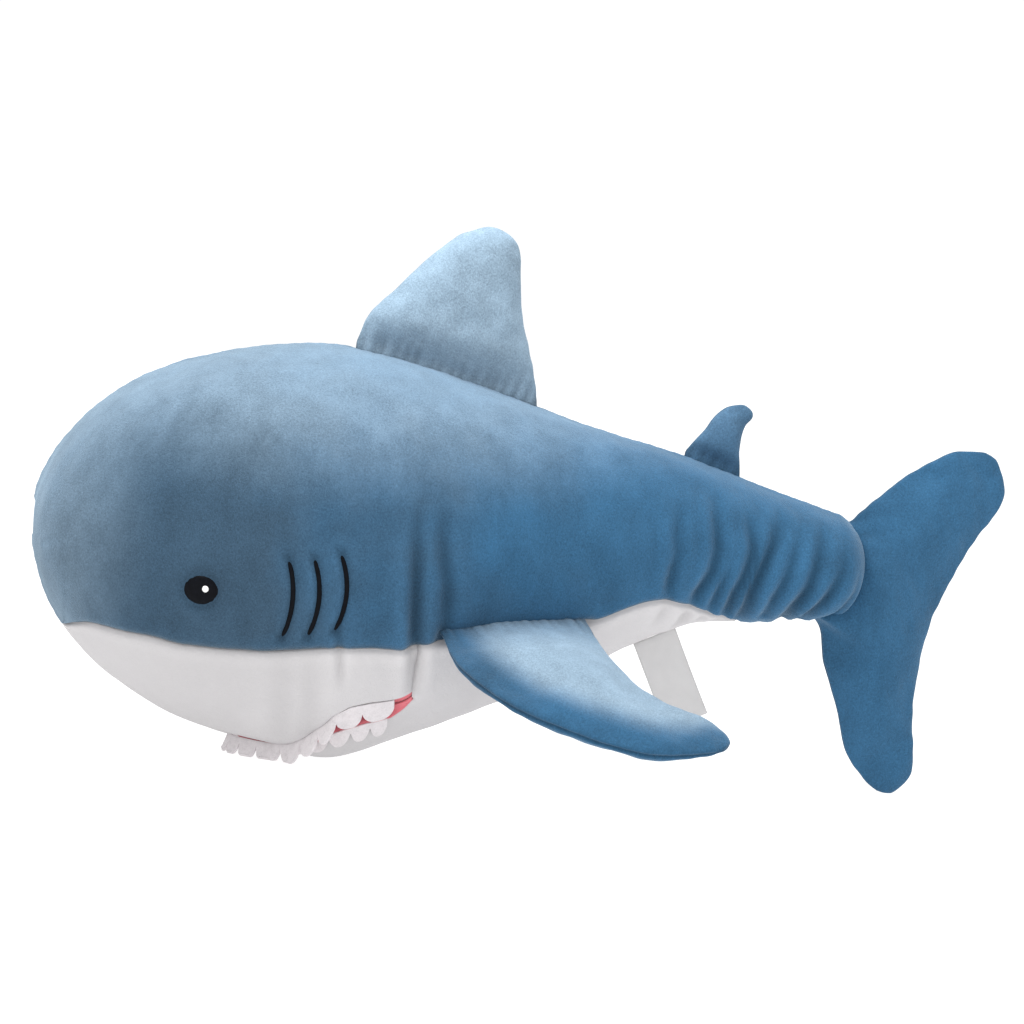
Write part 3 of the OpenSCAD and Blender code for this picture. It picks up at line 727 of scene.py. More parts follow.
def plush_material(name, colour, head, shades, sheen, sheen_tint, painted_shade_strength, painted_light_colour=(1, 1, 1), painted_light=()):
    """Short-pile plush: soft nap patches, fine grain and fibre tips that catch the light, with painted shade
    and painted highlight from the mesh and spots of painted light.
    """
    material, tree, shader, place = new_material(name)
    if tree is None:
        return material
    apart = tree.nodes.new("ShaderNodeSeparateXYZ")
    tree.links.new(place, apart.inputs["Vector"])
    length = map_range(tree, apart.outputs["X"], HEAD_TO_TAIL)
    patches = noise(tree, place, 14, 3, 0.55)
    nap = noise(tree, place, 60, 4, 0.6, (1, 1, 0.55))
    grain = noise(tree, place, 900, 2, 0.7)
    fibres = noise(tree, place, 2200, 2, 0.6, (1, 1, 0.35))
    along = math_node(tree, "ADD", length, weighted(tree, (math_node(tree, "SUBTRACT", patches, 0.5), 1.1)))
    main = colour_ramp(tree, along, ((0.1, head), (0.9, colour)))
    # Painted light: the blue turns towards a pale colour where the values kept on the mesh say.
    if painted_light:
        main = mix_colours(tree, main, (*painted_light_colour, 1), painted_light_mark(tree, "painted_light"))
    # Spots of painted light where the top light falls on the head and the nose, patchy with the nap.
    for centre, radius, amount in painted_light:
        spot = tree.nodes.new("ShaderNodeMapping")
        spot.vector_type = "TEXTURE"
        set_inputs(spot, {"Location": centre, "Scale": radius})
        tree.links.new(place, spot.inputs["Vector"])
        round_spot = tree.nodes.new("ShaderNodeTexGradient")
        round_spot.gradient_type = "SPHERICAL"
        tree.links.new(spot.outputs["Vector"], round_spot.inputs["Vector"])
        patchy = math_node(tree, "ADD", weighted(tree, (nap, 0.5)), 1.1)
        uneven = math_node(tree, "MULTIPLY", round_spot.outputs["Fac"], patchy)
        share = map_range(tree, uneven, (0.05, 0.75), (0, amount), "SMOOTHSTEP")
        main = mix_colours(tree, main, (*painted_light_colour, 1), share)
    tone = weighted(tree, (patches, 0.14), (nap, 0.22), (grain, 0.36), (fibres, 0.28))
    shade = colour_ramp(tree, tone, [(place, (share,) * 3) for place, share in zip((0.34, 0.66), shades)])
    main = mix_colours(tree, main, shade, blend="MULTIPLY")
    # Painted shade darkens creases, seams and recesses and painted highlight lightens ridges, as the values
    # kept on the mesh say.
    painted_shade_factor = map_range(tree, painted_light_mark(tree, "painted_shade"), (-1, 1), (1 + painted_shade_strength, 1 - painted_shade_strength))
    main = mix_colours(tree, main, painted_shade_factor, blend="MULTIPLY")
    tree.links.new(main, shader.inputs["Base Color"])
    tree.links.new(map_range(tree, grain, target=(0.82, 1.0)), shader.inputs["Roughness"])
    set_inputs(shader, {"Specular IOR Level": 0.1, "Sheen Weight": sheen, "Sheen Roughness": 0.45,
                        "Sheen Tint": (*sheen_tint, 1)})
    add_bump(tree, shader, weighted(tree, (nap, 1.6), (grain, 0.55), (fibres, 0.35)), 0.7, 0.8)
    return material


def felt_material(name, colour):
    """Pressed felt: matted fibres in every direction."""
    material, tree, shader, place = new_material(name)
    if tree is None:
        return material
    matted = noise(tree, place, 260, 5, 0.7)
    hairs = noise(tree, place, 1500, 3, 0.6, (1, 0.3, 1))
    tone = weighted(tree, (matted, 0.6), (hairs, 0.4))
    mixed = colour_ramp(tree, tone, ((0.3, tinted(colour, 0.8)), (0.52, colour), (0.75, tinted(colour, 1.1))))
    tree.links.new(mixed, shader.inputs["Base Color"])
    set_inputs(shader, {"Roughness": 0.95, "Specular IOR Level": 0.15, "Sheen Weight": 0.25})
    add_bump(tree, shader, tone, 0.35, 0.7)
    return material


def thread_material(name, colour, shine):
    """Embroidery thread: twisted strands with a soft shine along them."""
    material, tree, shader, place = new_material(name)
    if tree is None:
        return material
    strand = noise(tree, place, 2600, 2, 0.5, (1, 1, 0.15))
    soft = noise(tree, place, 300, 2, 0.5)
    tone = weighted(tree, (strand, 0.65), (soft, 0.35))
    mixed = colour_ramp(tree, tone, ((0.3, tinted(colour, 0.6)), (0.5, colour), (0.72, tinted(colour, 1.6))))
    tree.links.new(mixed, shader.inputs["Base Color"])
    tree.links.new(map_range(tree, strand, target=(shine, shine + 0.25)), shader.inputs["Roughness"])
    set_inputs(shader, {"Specular IOR Level": 0.06, "Anisotropic": 0.5})
    add_bump(tree, shader, tone, 0.15, 0.6)
    return material


def tape_material(name, colour):
    """Satin-woven label tape: fine ribs across it."""
    material, tree, shader, place = new_material(name)
    if tree is None:
        return material
    turned = tree.nodes.new("ShaderNodeMapping")
    turned.inputs["Rotation"].default_value = (0, math.radians(-LABEL_TURN), 0)
    tree.links.new(place, turned.inputs["Vector"])
    waves = []
    for axis, scale in (("X", 1500), ("Z", 900)):
        wave = tree.nodes.new("ShaderNodeTexWave")
        wave.bands_direction = axis
        set_inputs(wave, {"Scale": scale, "Distortion": 0.6})
        tree.links.new(turned.outputs["Vector"], wave.inputs["Vector"])
        waves.append(wave.outputs["Fac"])
    weave = math_node(tree, "MULTIPLY", waves[0], waves[1])
    cloudy = noise(tree, place, 90, 2, 0.5)
    tone = weighted(tree, (weave, 0.35), (cloudy, 0.65))
    mixed = colour_ramp(tree, tone, ((0.15, tinted(colour, 0.9)), (0.6, colour)))
    tree.links.new(mixed, shader.inputs["Base Color"])
    set_inputs(shader, {"Roughness": 0.5, "Sheen Weight": 0.2})
    add_bump(tree, shader, weave, 0.12, 0.6)
    return material


# ---------- settings ----------


# The stretch of x over which the head's blue turns into the tail's, in metres
HEAD_TO_TAIL = (-0.20, 0.04)
# Spots of painted light on the blue plush, where the top light falls on the head and the nose: centre,
# radius, amount
PAINTED_LIGHT_SPOTS = (
    ((-0.12, 0, 0.270), (0.30, 0.35, 0.130), 0.5),
    ((-0.285, 0, 0.14), (0.10, 0.13, 0.14), 0.36),
)


def length_property(name, about, size, low, high):
    """A size in millimetres."""
    return FloatProperty(name=name, description=about, default=size * MM, min=low * MM, max=high * MM,
                         unit="LENGTH")


def colour_property(name, about, colour):
    """A colour that can be picked."""
    return FloatVectorProperty(name=name, description=about, subtype="COLOR", default=colour, min=0, max=1)


class SharkSizes(bpy.types.PropertyGroup):
    """Sizes of the toy's details."""

    fabric: length_property("Plush thickness", "Thickness of the plush fabric", 1.7, 0.8, 3)
    felt: length_property("Felt thickness", "Thickness of the felt of the teeth and the mouth", 1.3, 0.6, 2.5)
    mouth_depth: length_property("Mouth depth", "Depth of the fold between the lips", 9, 4, 14)
    tooth_length: length_property("Tooth length", "Length of a felt tooth at the front", 12, 6, 15)
    gill_width: length_property("Gill line width", "Width of a satin-stitched gill line", 3.1, 1.5, 4)
    pressure: FloatProperty(name="Stuffing pressure", description="How hard the stuffing fills a fin",
                            default=4.0, min=0.0, max=12.0)


class SharkColours(bpy.types.PropertyGroup):
    """Colours of the toy's fabrics."""

    blue: colour_property("Blue plush", "Colour of the blue plush", (0.033, 0.112, 0.213))
    blue_head: colour_property("Blue plush on the head", "Colour of the blue plush on the head",
                               (0.040, 0.080, 0.127))
    # The pale blue of the painted light on the blue plush.
    blue_painted_light: colour_property("Blue plush brushed up", "Colour of the blue plush where its nap stands up",
                                  (0.252, 0.345, 0.432))
    white: colour_property("White plush", "Colour of the white plush", (0.61, 0.595, 0.605))
    pink: colour_property("Pink felt", "Colour of the mouth's lining", (0.66, 0.17, 0.20))
    teeth: colour_property("Teeth felt", "Colour of the teeth", (0.66, 0.625, 0.64))
    black: colour_property("Black thread", "Colour of the eyes and the gill lines", (0.0035, 0.004, 0.006))
    white_thread: colour_property("White thread", "Colour of the glints and the closing stitches",
                                  (0.86, 0.86, 0.85))
    label: colour_property("Label tape", "Colour of the care label", (0.66, 0.65, 0.65))


def blue_plush():
    """The blue fabric: darker and greyer on the head, with painted light where the top light falls."""
    colours = bpy.context.scene.shark_colours
    tail, head, painted_light = (tuple(c) for c in (colours.blue, colours.blue_head, colours.blue_painted_light))
    return plush_material("blue_short_pile_plush", tail, head, (0.55, 1.35), 0.36, (0.64, 0.80, 0.94), 0.5,
                          painted_light, PAINTED_LIGHT_SPOTS)


def white_plush():
    """The white fabric."""
    white = tuple(bpy.context.scene.shark_colours.white)
    return plush_material("white_short_pile_plush", white, tinted(white, 0.85), (0.93, 1.0),
                          0.15, (1, 0.98, 0.97), 0.2)


# ---------- the stage ----------


class SHARK_OT_stage(bpy.types.Operator):
    """Make the pale floor, the soft light and the camera"""

    bl_idname = "shark.stage"
    bl_label = "Stage"

    def execute(self, context):
        scene = context.scene
        scene.view_settings.view_transform = "Standard"
        world = bpy.data.worlds.new("pale_room")
        scene.world = world
        world.use_nodes = True
        set_inputs(world.node_tree.nodes["Background"], {"Color": (1, 1, 1, 1), "Strength": ROOM_LIGHT})

        floor_mesh = bpy.data.meshes.new("floor")
        corners = [(FLOOR_HALF * i, FLOOR_HALF * j, 0) for i, j in ((-1, -1), (1, -1), (1, 1), (-1, 1))]
        floor_mesh.from_pydata(corners, [], [(0, 1, 2, 3)])
        floor = bpy.data.objects.new("floor", floor_mesh)
        scene.collection.objects.link(floor)
        material, tree, shader, place = new_material("pale_floor")
        tree.links.new(colour_ramp(tree, noise(tree, place, 3), FLOOR_TONES), shader.inputs["Base Color"])
        set_inputs(shader, {"Roughness": 0.9, "Specular IOR Level": 0.1, "Emission Color": (1, 1, 1, 1),
                            "Emission Strength": FLOOR_GLOW})
        floor_mesh.materials.append(material)

        for name, spot, aim, size, power in LAMPS:
            light = bpy.data.lights.new(name, "AREA")
            light.shape = "DISK"
            light.size = size
            light.energy = power
            lamp = bpy.data.objects.new(name, light)
            lamp.location = spot
            lamp.rotation_euler = (Vector(aim) - Vector(spot)).to_track_quat("-Z", "Y").to_euler()
            scene.collection.objects.link(lamp)

        camera_data = bpy.data.cameras.new("camera")
        camera = bpy.data.objects.new("camera", camera_data)
        scene.collection.objects.link(camera)
        camera_data.lens = CAMERA_LENS
        camera_data.sensor_width = CAMERA_SENSOR
        azimuth, elevation, roll = (math.radians(angle) for angle in CAMERA_ANGLES)
        level = math.cos(elevation)
        back = Vector((math.sin(azimuth) * level, -math.cos(azimuth) * level, math.sin(elevation)))
        right = (-back).cross(Vector((0, 0, 1))).normalized()
        up = right.cross(-back)
        turned_right = right * math.cos(roll) + up * math.sin(roll)
        turned_up = up * math.cos(roll) - right * math.sin(roll)
        turn = Matrix((turned_right, turned_up, back)).transposed()
        stand = Vector(CAMERA_TARGET) + back * CAMERA_DISTANCE
        camera.matrix_world = Matrix.Translation(stand) @ turn.to_4x4()
        scene.camera = camera
        return {"FINISHED"}


# ---------- the body ----------


def side_grid():
    """Plain and sewn shape of the left side, from the back's seam to the white fabric's."""
    x = stations(NOSE_X, STOCK_END_X, CHIN_X, WHITE_X, WHITE_END_X, WHITE_TIP_X)
    x = np.sort(np.concatenate([x, CHIN_STATIONS]))
    a = seam_angle(x)[:, None] * eased(SIDE_COLS)[None]
    return x[:, None] + 0 * a, a


def sewn(x, a, seams, seed, mirror=1):
    """Points of the skin at x and a, moved by the body's relief and its seams', and their painted shade and
    highlight.
    """
    grid = skin(x, a)
    offset, painted_mark = body_relief(grid.reshape(-1, 3) * (1, mirror, 1))
    for k, (d, along) in enumerate(seams):
        pressed = seam_relief(d, along, seed + k)
        offset += pressed.ravel()
        # Painted shade where the seam turns in, and a faint painted highlight on the ridge beside it.
        painted_mark += np.clip(-0.35 * pressed, -0.1, 0.6).ravel()
    return grid + offset.reshape(x.shape)[..., None] * skin_normal(x, a), painted_mark


class SHARK_OT_sides(bpy.types.Operator):
    """Sew the blue side panels, each from the nose to the end of the tail stock"""

    bl_idname = "shark.sides"
    bl_label = "Blue side panels"

    def execute(self, context):
        x, a = side_grid()
        plain = skin(x, a)
        across = arc_length(plain, 1)
        along = arc_length(plain, 0)
        seams = ((across, along), (across[:, -1:] - across, along))
        dart = skin(*np.array(NOSE_DART))
        for side, mirror, extra in (("left", 1, "body_fill"), ("right", -1, "tail_fill")):
            grid, painted_mark = sewn(x, a, seams, 11 if mirror > 0 else 31, mirror)
            d, t = near_line(plain.reshape(-1, 3), dart)
            fade = np.interp(t, (0, 0.6, 1), (1, 0.8, 0))
            groove = (0.3 * bell(d - 3.4, 2.2) - 0.6 * bell(d, 1.5)) * fade
            # Painted highlight along the nose dart.
            painted_mark = painted_mark - (0.5 * bell(d, 1.6) * fade).reshape(np.shape(painted_mark))
            grid = grid + groove.reshape(x.shape)[..., None] * skin_normal(x, a)
            grid[..., 2] = np.maximum(grid[..., 2], FABRIC_LOW)
            grid[:, 0, 1] = 0
            under = seam_angle(x[:, 0]) > 179.99
            grid[under, -1, 1] = 0
            grid = grid * (1, mirror, 1)
            piece = make_piece(f"plush_side_{side}", grid, grid_faces(*x.shape), blue_plush(),
                               flip=mirror < 0, painted_marks=painted_mark)
            thicken(piece, context.scene.shark_sizes.fabric / MM)
            finish_piece(piece, "blue_plush", None, f"side_panel_{side}", f"tail_panel_{side}", extra)
            bend_body(piece)
        return {"FINISHED"}


def bend_body(piece):
    """Bakes the piece's placement into its mesh."""
    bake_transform(piece)


def white_grid(x, front):
    """Angles over the white fabric: a strip, the upper lip, the lower lip and the belly on each side."""
    s, lip, jaw = seam_angle(x), lip_angle(x, False), lip_angle(x, True)
    strip = s[:, None] + (lip - s)[:, None] * eased(STRIP_COLS)[None]
    if front:
        middle = lip[:, None] + (180 - lip)[:, None] * np.linspace(0, 1, LIP_COLS + 1)[None]
        left = np.concatenate([strip, middle[:, 1:]], 1)
    else:
        gap = lip[:, None] + (jaw - lip)[:, None] * np.linspace(0, 1, 3)[None]
        middle = jaw[:, None] + (180 - jaw)[:, None] * eased(JAW_COLS, 0.3)[None]
        left = np.concatenate([strip, gap[:, 1:], middle[:, 1:]], 1)
    a = np.concatenate([left, 360 - left[:, -2::-1]], 1)
    return x[:, None] + 0 * a, a


def lip_path(jaw, count=160):
    """The lip's edge from the left corner round the front to the right one: x and angle."""
    front = JAW_X if jaw else LIP_X
    t = np.linspace(0, 2, count)
    x = np.where(t < 1, lerp(CORNER_X, front, np.minimum(t, 1)), front)
    edge = lip_angle(x, jaw)
    a = np.where(t < 1, edge, lerp(edge, 180, np.maximum(t - 1, 0)))
    x = x - bow(x, a)
    return np.concatenate([x, x[-2::-1]]), np.concatenate([a, 360 - a[-2::-1]])


def rolled(points, line, radius):
    """How far the fabric rolls in at an open edge."""
    d, _ = near_line(points, line)
    share = np.clip(1 - d / radius, 0, 1)
    return -radius * (1 - np.sqrt(1 - 0.98 * share**2))


class SHARK_OT_white(bpy.types.Operator):
    """Sew the white snout panel and the white belly panel, with the mouth's slit between them"""

    bl_idname = "shark.white"
    bl_label = "White panels"

    def execute(self, context):
        near_lip = (LIP_X + EDGE_STEP, LIP_X - EDGE_STEP)
        snout_x = stations(CHIN_X, CORNER_X, WHITE_X, LIP_X, *near_lip)
        snout_x = np.sort(np.concatenate([snout_x, CHIN_STATIONS]))
        belly_x = stations(JAW_X, WHITE_TIP_X, CORNER_X, WHITE_END_X, JAW_X + EDGE_STEP)
        for name, rows, front, node in (("plush_snout", snout_x, True, "snout_panel"),
                                        ("plush_belly", belly_x, False, "belly_panel")):
            x, a = white_grid(rows, front)
            x_bowed = x - bow(x, a)
            plain = skin(x_bowed, a)
            across = arc_length(plain, 1)
            half = across.shape[1] // 2
            from_seam = np.minimum(across, across[:, -1:] - across)
            grid, painted_mark = sewn(x_bowed, a, ((from_seam, arc_length(plain, 0)),), 51 if front else 61)
            line = skin(*lip_path(not front))
            roll = rolled(plain.reshape(-1, 3), line, 2.2).reshape(x.shape)
            if not front:
                roll = roll * (1 - ramp(x, CORNER_X - 2, CORNER_X + 6))
            grid = grid + roll[..., None] * skin_normal(x_bowed, a)
            grid[..., 2] = np.maximum(grid[..., 2], FABRIC_LOW)
            i, j = np.meshgrid(np.arange(len(rows) - 1), np.arange(x.shape[1] - 1), indexing="ij")
            k = np.where(j < half, j, 2 * half - 1 - j)
            if front:
                keep = (rows[i] < LIP_X - 1e-6) | (k < STRIP_COLS)
            else:
                keep = (rows[i] >= CORNER_X - 1e-6) | (k >= STRIP_COLS + 2)
            # Painted shade where the fabric rolls in at the lip.
            piece = make_piece(name, grid, grid_faces(*x.shape, keep), white_plush(),
                               painted_marks=painted_mark - 0.15 * roll.ravel())
            thicken(piece, context.scene.shark_sizes.fabric / MM)
            finish_piece(piece, "white_plush", "body" if front else None, node)
            if not front:
                bend_body(piece)
        return {"FINISHED"}


# ---------- the mouth ----------


class SHARK_OT_mouth(bpy.types.Operator):
    """Line the mouth with pink felt and sew on the scalloped teeth"""

    bl_idname = "shark.mouth"
    bl_label = "Mouth and teeth"

    def execute(self, context):
        sizes, colours = context.scene.shark_sizes, context.scene.shark_colours
        deep, felt = sizes.mouth_depth / MM, sizes.felt / MM
        pink = felt_material("pink_felt_lining", tuple(colours.pink))
        white = felt_material("white_tooth_felt", tuple(colours.teeth))
        upper, lower = np.array(lip_path(False)), np.array(lip_path(True))
        count = upper.shape[1]
        t = np.linspace(0, 4, count)
        fade = ramp(np.minimum(t, 4 - t), 0, 0.35)

        def across(v, depth):
            """Points across the mouth: v from 0 at the upper lip to 1 at the lower lip."""
            x = lerp(upper[0][:, None], lower[0][:, None], v)
            a = lerp(upper[1][:, None], lower[1][:, None], v)
            return on_skin(x, a, -depth)

        def hollow(v):
            """The mouth's round bottom across it, from 0 at the lips to 1."""
            return np.sin(math.pi * np.clip(v, 0, 1)) ** 0.55

        v = lerp(-0.12 - 0.2 * (1 - fade)[:, None], 0.5, np.linspace(0, 1, 12)[None])
        base = 1.4 + 2.0 * ramp(np.minimum(t, 4 - t), 0.12, 0.45)[:, None]
        depth = base + (deep - base) * fade[:, None] * hollow(v)
        roof = make_piece("mouth_lining_roof", across(v, depth), grid_faces(count, 12), pink)
        v = np.linspace(0.5, 1.1, 14)[None]
        edge = 0.5 * ramp(v, 0.85, 1.0) - 2.2 * ramp(v, 1.03, 1.1)
        depth = (deep - 0.2) * fade[:, None] * hollow(v) - edge
        floor = make_piece("mouth_lining_floor", across(v, depth), grid_faces(count, 14), pink)
        for piece, node in ((roof, "mouth_roof_lining"), (floor, "mouth_floor_lining")):
            piece.data.flip_normals()
            thicken(piece, felt)
            finish_piece(piece, "pink_felt", "body", node)

        for name, jaw, node in (("teeth_upper", False, "upper_teeth"), ("teeth_lower", True, "lower_teeth")):
            piece = self.teeth(name, jaw, sizes.tooth_length / MM, white)
            thicken(piece, felt, 0.0, soft_edge=0.35)
            finish_piece(piece, "white_felt", "body", node)
        return {"FINISHED"}

    @staticmethod
    def teeth(name, jaw, length, material):
        """A felt strip with scallops: some lie across the mouth, and the front ones hang over the lip."""
        fine = 640
        t = np.linspace(0, 4, fine)
        half = np.minimum(t, 4 - t)
        side = np.where(t <= 2, 1.0, -1.0)
        (ux, ua), (lx, la) = lip_path(False), lip_path(True)
        path_t = np.linspace(0, 4, len(ux))
        ux, ua, lx, la = (np.interp(t, path_t, v) for v in (ux, ua, lx, la))
        edges = np.array(LOWER_TEETH if jaw else UPPER_TEETH)
        k = np.clip(np.searchsorted(edges, half, "right") - 1, 0, len(edges) - 2)
        phase = np.clip((half - edges[k]) / (edges[k + 1] - edges[k]), 0, 1)
        lobe = np.clip(1 - np.abs(2 * phase - 1) ** 2.3, 0, 1) ** 0.62
        on = (half > edges[0]) & (half < edges[-1] + 1e-6)
        rows = np.linspace(0, 1, 9)
        grid = []
        if not jaw:
            base = lerp(0.36, 0.14, ramp(half, 0.5, 0.7))
            shape = np.where(on, base + (1 - base) * lobe, 0)
            hang = ramp(half, 0.46, 0.60)
            outward = skin_normal(ux, ua)
            down = unit(np.stack([-0.35 * ramp(half, 0.9, 1.6), -0.30 * side * ramp(-half, -2, -1),
                                  -0.95 + 0 * t], -1))
            root = on_skin(ux, ua, np.full(fine, -0.7))
            for s in rows:
                reach = s * shape
                lying = on_skin(lerp(ux, lx, 0.93 * reach), lerp(ua, la, 0.93 * reach),
                                -0.7 + 1.3 * np.sin(math.pi * 0.62 * reach))
                curl = 1.3 * np.sin(math.pi * 0.8 * reach)
                hanging = root + down * (length * reach)[:, None] + outward * curl[:, None]
                grid.append(lerp(lying, hanging, hang[:, None]))
        else:
            shape = np.where(on, 0.22 + 0.78 * lobe, 0)
            drop = length * 0.86 / 1.55
            fall = 1 - ramp(half, 0.5, 0.8)
            for s in rows:
                reach = s * shape
                place = on_skin(lx + 0.1 * drop * reach, la + side * reach * drop * 0.82,
                                -0.3 + 1.5 * np.sin(math.pi * 0.55 * reach))
                place[:, 2] -= 3.0 * reach**2 * fall
                grid.append(place)
        grid = np.stack(grid, 1)
        grid[..., 2] = np.maximum(grid[..., 2], TEETH_LOW)
        keep = np.broadcast_to((on[:-1] & on[1:])[:, None], (fine - 1, 8))
        return make_piece(name, grid, grid_faces(fine, 9, keep), material, merge=0.02)


# ---------- embroidery ----------


def patch_points(centre, size, rings, spokes, lift, ridge, pitch):
    """A satin-stitched ellipse on the left side, with its threads running up and down."""
    x0, z0 = centre
    a0 = side_angle(x0, z0)
    n = skin_normal(np.array(x0, float), np.array(a0, float))
    u = unit(np.cross(n, (0, 0, 1)))
    v = np.cross(n, u)
    r = np.linspace(0, 1, rings + 1)[:, None]
    w = np.linspace(0, 2 * math.pi, spokes + 1)[None]
    du, dv = size[0] / 2 * r * np.cos(w), size[1] / 2 * r * np.sin(w)
    x = x0 + du * u[0] + dv * v[0]
    z = z0 + du * u[2] + dv * v[2]
    threads = np.abs(np.sin(math.pi * du / pitch)) ** 0.7
    dome = np.sqrt(np.clip(1 - r**4, 0, 1))
    height = lift * dome - 0.8 * (1 - dome) + ridge * threads * dome
    return on_fabric(x, side_angle(x, z), height)


class SHARK_OT_embroidery(bpy.types.Operator):
    """Embroider the eyes and the gill lines, and close the filling slit"""

    bl_idname = "shark.embroidery"
    bl_label = "Embroidery"

    def execute(self, context):
        colours = context.scene.shark_colours
        black = thread_material("black_embroidery_thread", tuple(colours.black), 0.34)
        white = thread_material("white_embroidery_thread", tuple(colours.white_thread), 0.4)
        width = context.scene.shark_sizes.gill_width / MM
        for side, mirror in (("left", 1), ("right", -1)):
            eye = patch_points(EYE, EYE_SIZE, 26, 120, 0.9, 0.16, 0.55)
            piece = make_piece(f"eye_patch_{side}", eye * (1, mirror, 1), grid_faces(27, 121), black,
                               flip=mirror > 0)
            finish_piece(piece, "black_thread", "body", f"eye_{side}")
            spot = patch_points(GLINT, GLINT_SIZE, 10, 40, 1.5, 0.12, 0.5)
            piece = make_piece(f"eye_spot_{side}", spot * (1, mirror, 1), grid_faces(11, 41), white,
                               flip=mirror > 0)
            finish_piece(piece, "white_thread", "body", f"eye_glint_{side}")

            grids = []
            for gill in GILLS:
                share = np.linspace(0, 1, 260)[:, None]
                over = np.linspace(-1, 1, 11)[None]
                x, z = gill_line(gill, share)
                taper = np.sqrt(np.clip(1 - np.abs(2 * share - 1) ** 14, 0, 1))
                turns = (share + 0.0025 * over) * (gill[2] - gill[3]) / 0.62
                stitches = np.abs(np.sin(math.pi * turns)) ** 0.6
                x = x + over * width / 2 * (taper * (0.93 + 0.07 * stitches))
                dome = np.sqrt(np.clip(1 - over**2, 0, 1)) * taper
                lift = -0.5 + 1.5 * dome + 0.2 * stitches * dome
                grids.append(on_fabric(x, side_angle(x, z + 0 * x), lift) * (1, mirror, 1))
            piece = joined(f"gill_lines_{side}", grids, black, flip=mirror > 0)
            finish_piece(piece, "black_thread", "body", f"gill_stitches_{side}")

        grids = []
        for k, x0 in enumerate(CLOSING):
            share = np.linspace(0, 1, 17)[:, None]
            turn = np.linspace(0, 2 * math.pi, 9)[None]
            z = CLOSING_Z + CLOSING_LEN * share
            x = x0 + 0.8 * math.sin(k * 2.1) * share
            thick = 0.55 * (1 - 0.5 * np.abs(2 * share - 1) ** 6)
            x, z = x + thick * np.cos(turn), z + 0 * turn
            a = side_angle(x, z)
            lift = -1.6 + 2.0 * np.sin(math.pi * share) ** 0.4 + thick * np.sin(turn)
            grids.append(on_skin(x, a, lift) * (1, -1, 1))
        piece = joined("closing_ladder_stitches", grids, white)
        finish_piece(piece, "white_thread", "body", "closing_stitches")
        return {"FINISHED"}


# ---------- fins ----------


def fin_points(rows, v, u, tips, grow):
    """Points in a fin's plane: v from its root to its tip, u from its front edge to its rear one."""
    share = np.sqrt(1 - (TIP_ROUND * np.clip((v - 1 + tips[1]) / tips[1], 0, 1)) ** 2)
    if tips[0]:
        share = share * np.sqrt(1 - (TIP_ROUND * np.clip((tips[0] - v) / tips[0], 0, 1)) ** 2)
    u = 0.5 + (u - 0.5) * share * grow
    return np.stack([lerp(smooth_curve(rows, v, 1), smooth_curve(rows, v, 3), u), 0 * u + 0 * v,
                     lerp(smooth_curve(rows, v, 2), smooth_curve(rows, v, 4), u)], -1)


def fin_start(rows, thick, tuck, both_tips, cells, tips, grow):
    """A thin closed fin to be puffed up, tucked into the body at its root."""
    nv, nu = cells
    k = np.linspace(0, 1, nv + 1)[:, None]
    if both_tips:
        v = lerp(k, 0.5 - 0.5 * np.cos(math.pi * k), 0.75)
    else:
        v = lerp(k, np.sin(math.pi / 2 * k), 0.75)
    u = eased(nu, 0.75)[None]
    plane = fin_points(rows, v, u, tips, grow)
    if both_tips:
        inside = ramp(v, 0.30, 0.40) * ramp(-v, -0.70, -0.62)
        plane[..., 0] -= ROOT_TUCK * (1 - u) ** 2 * inside
        length = np.sin(math.pi * v)
        root = 1 + 0.7 * inside * (1 - u) ** 2
    else:
        length = np.cos(math.pi / 2 * v**2.4)
        root = 0.42 + 0.58 * ramp(v, 0, 0.24)
    half = thick * root * np.clip(length, 0, 1) ** 0.5 * np.sqrt(np.clip(4 * u * (1 - u), 0, 1))
    if tuck:
        plane = np.concatenate([plane[:1] - tuck * np.array((0, 0, 1.0)), plane])
        half = np.concatenate([half[:1], half])
    one, two = plane.copy(), plane.copy()
    one[..., 1] -= half
    two[..., 1] += half
    return one, two


def puffed(name, one, two, material, sizes, pins, cap):
    """Joins a fin's two halves and lets the stuffing press them out between their seams."""
    rows, cols = one.shape[:2]
    faces = grid_faces(rows, cols)
    base = rows * cols
    ends = [[j, base + j, base + j + 1, j + 1] for j in range(cols - 1)]
    points = np.concatenate([one.reshape(-1, 3), two.reshape(-1, 3)])
    faces = np.concatenate([faces, faces[:, ::-1] + base, np.array(ends)])
    piece = make_piece(name, points, faces, material, merge=0.06)
    bm = bmesh.new()
    bm.from_mesh(piece.data)
    bmesh.ops.recalc_face_normals(bm, faces=bm.faces)
    bm.to_mesh(piece.data)
    bm.free()
    piece.data.shade_smooth()
    start = vertex_values(piece, "co")
    held = np.flatnonzero(pins(start / MM))
    group = piece.vertex_groups.new(name="seam")
    group.add(held.tolist(), 1.0, "REPLACE")
    cloth = piece.modifiers.new("stuffing", "CLOTH")
    settings = cloth.settings
    settings.quality = 6
    settings.mass = 0.25
    settings.tension_stiffness = settings.compression_stiffness = 18
    settings.shear_stiffness = 8
    settings.bending_stiffness = 1.2
    settings.shrink_min = -0.012
    settings.use_pressure = True
    settings.uniform_pressure_force = sizes.pressure
    settings.vertex_group_mass = "seam"
    settings.effector_weights.gravity = 0
    cloth.point_cache.frame_start, cloth.point_cache.frame_end = 1, PUFF_FRAMES
    scene = bpy.context.scene
    for step in range(1, PUFF_FRAMES + 1):
        scene.frame_set(step)
    bake_modifiers(piece)
    moved = spread_evenly(piece.data, vertex_values(piece, "co") - start, 5)
    far = np.maximum(np.linalg.norm(moved, axis=1), 1e-9)
    moved *= (np.minimum(far, cap * MM) / far)[:, None]
    set_points(piece, start + moved)
    scene.frame_set(1)
    piece.vertex_groups.clear()
    return piece


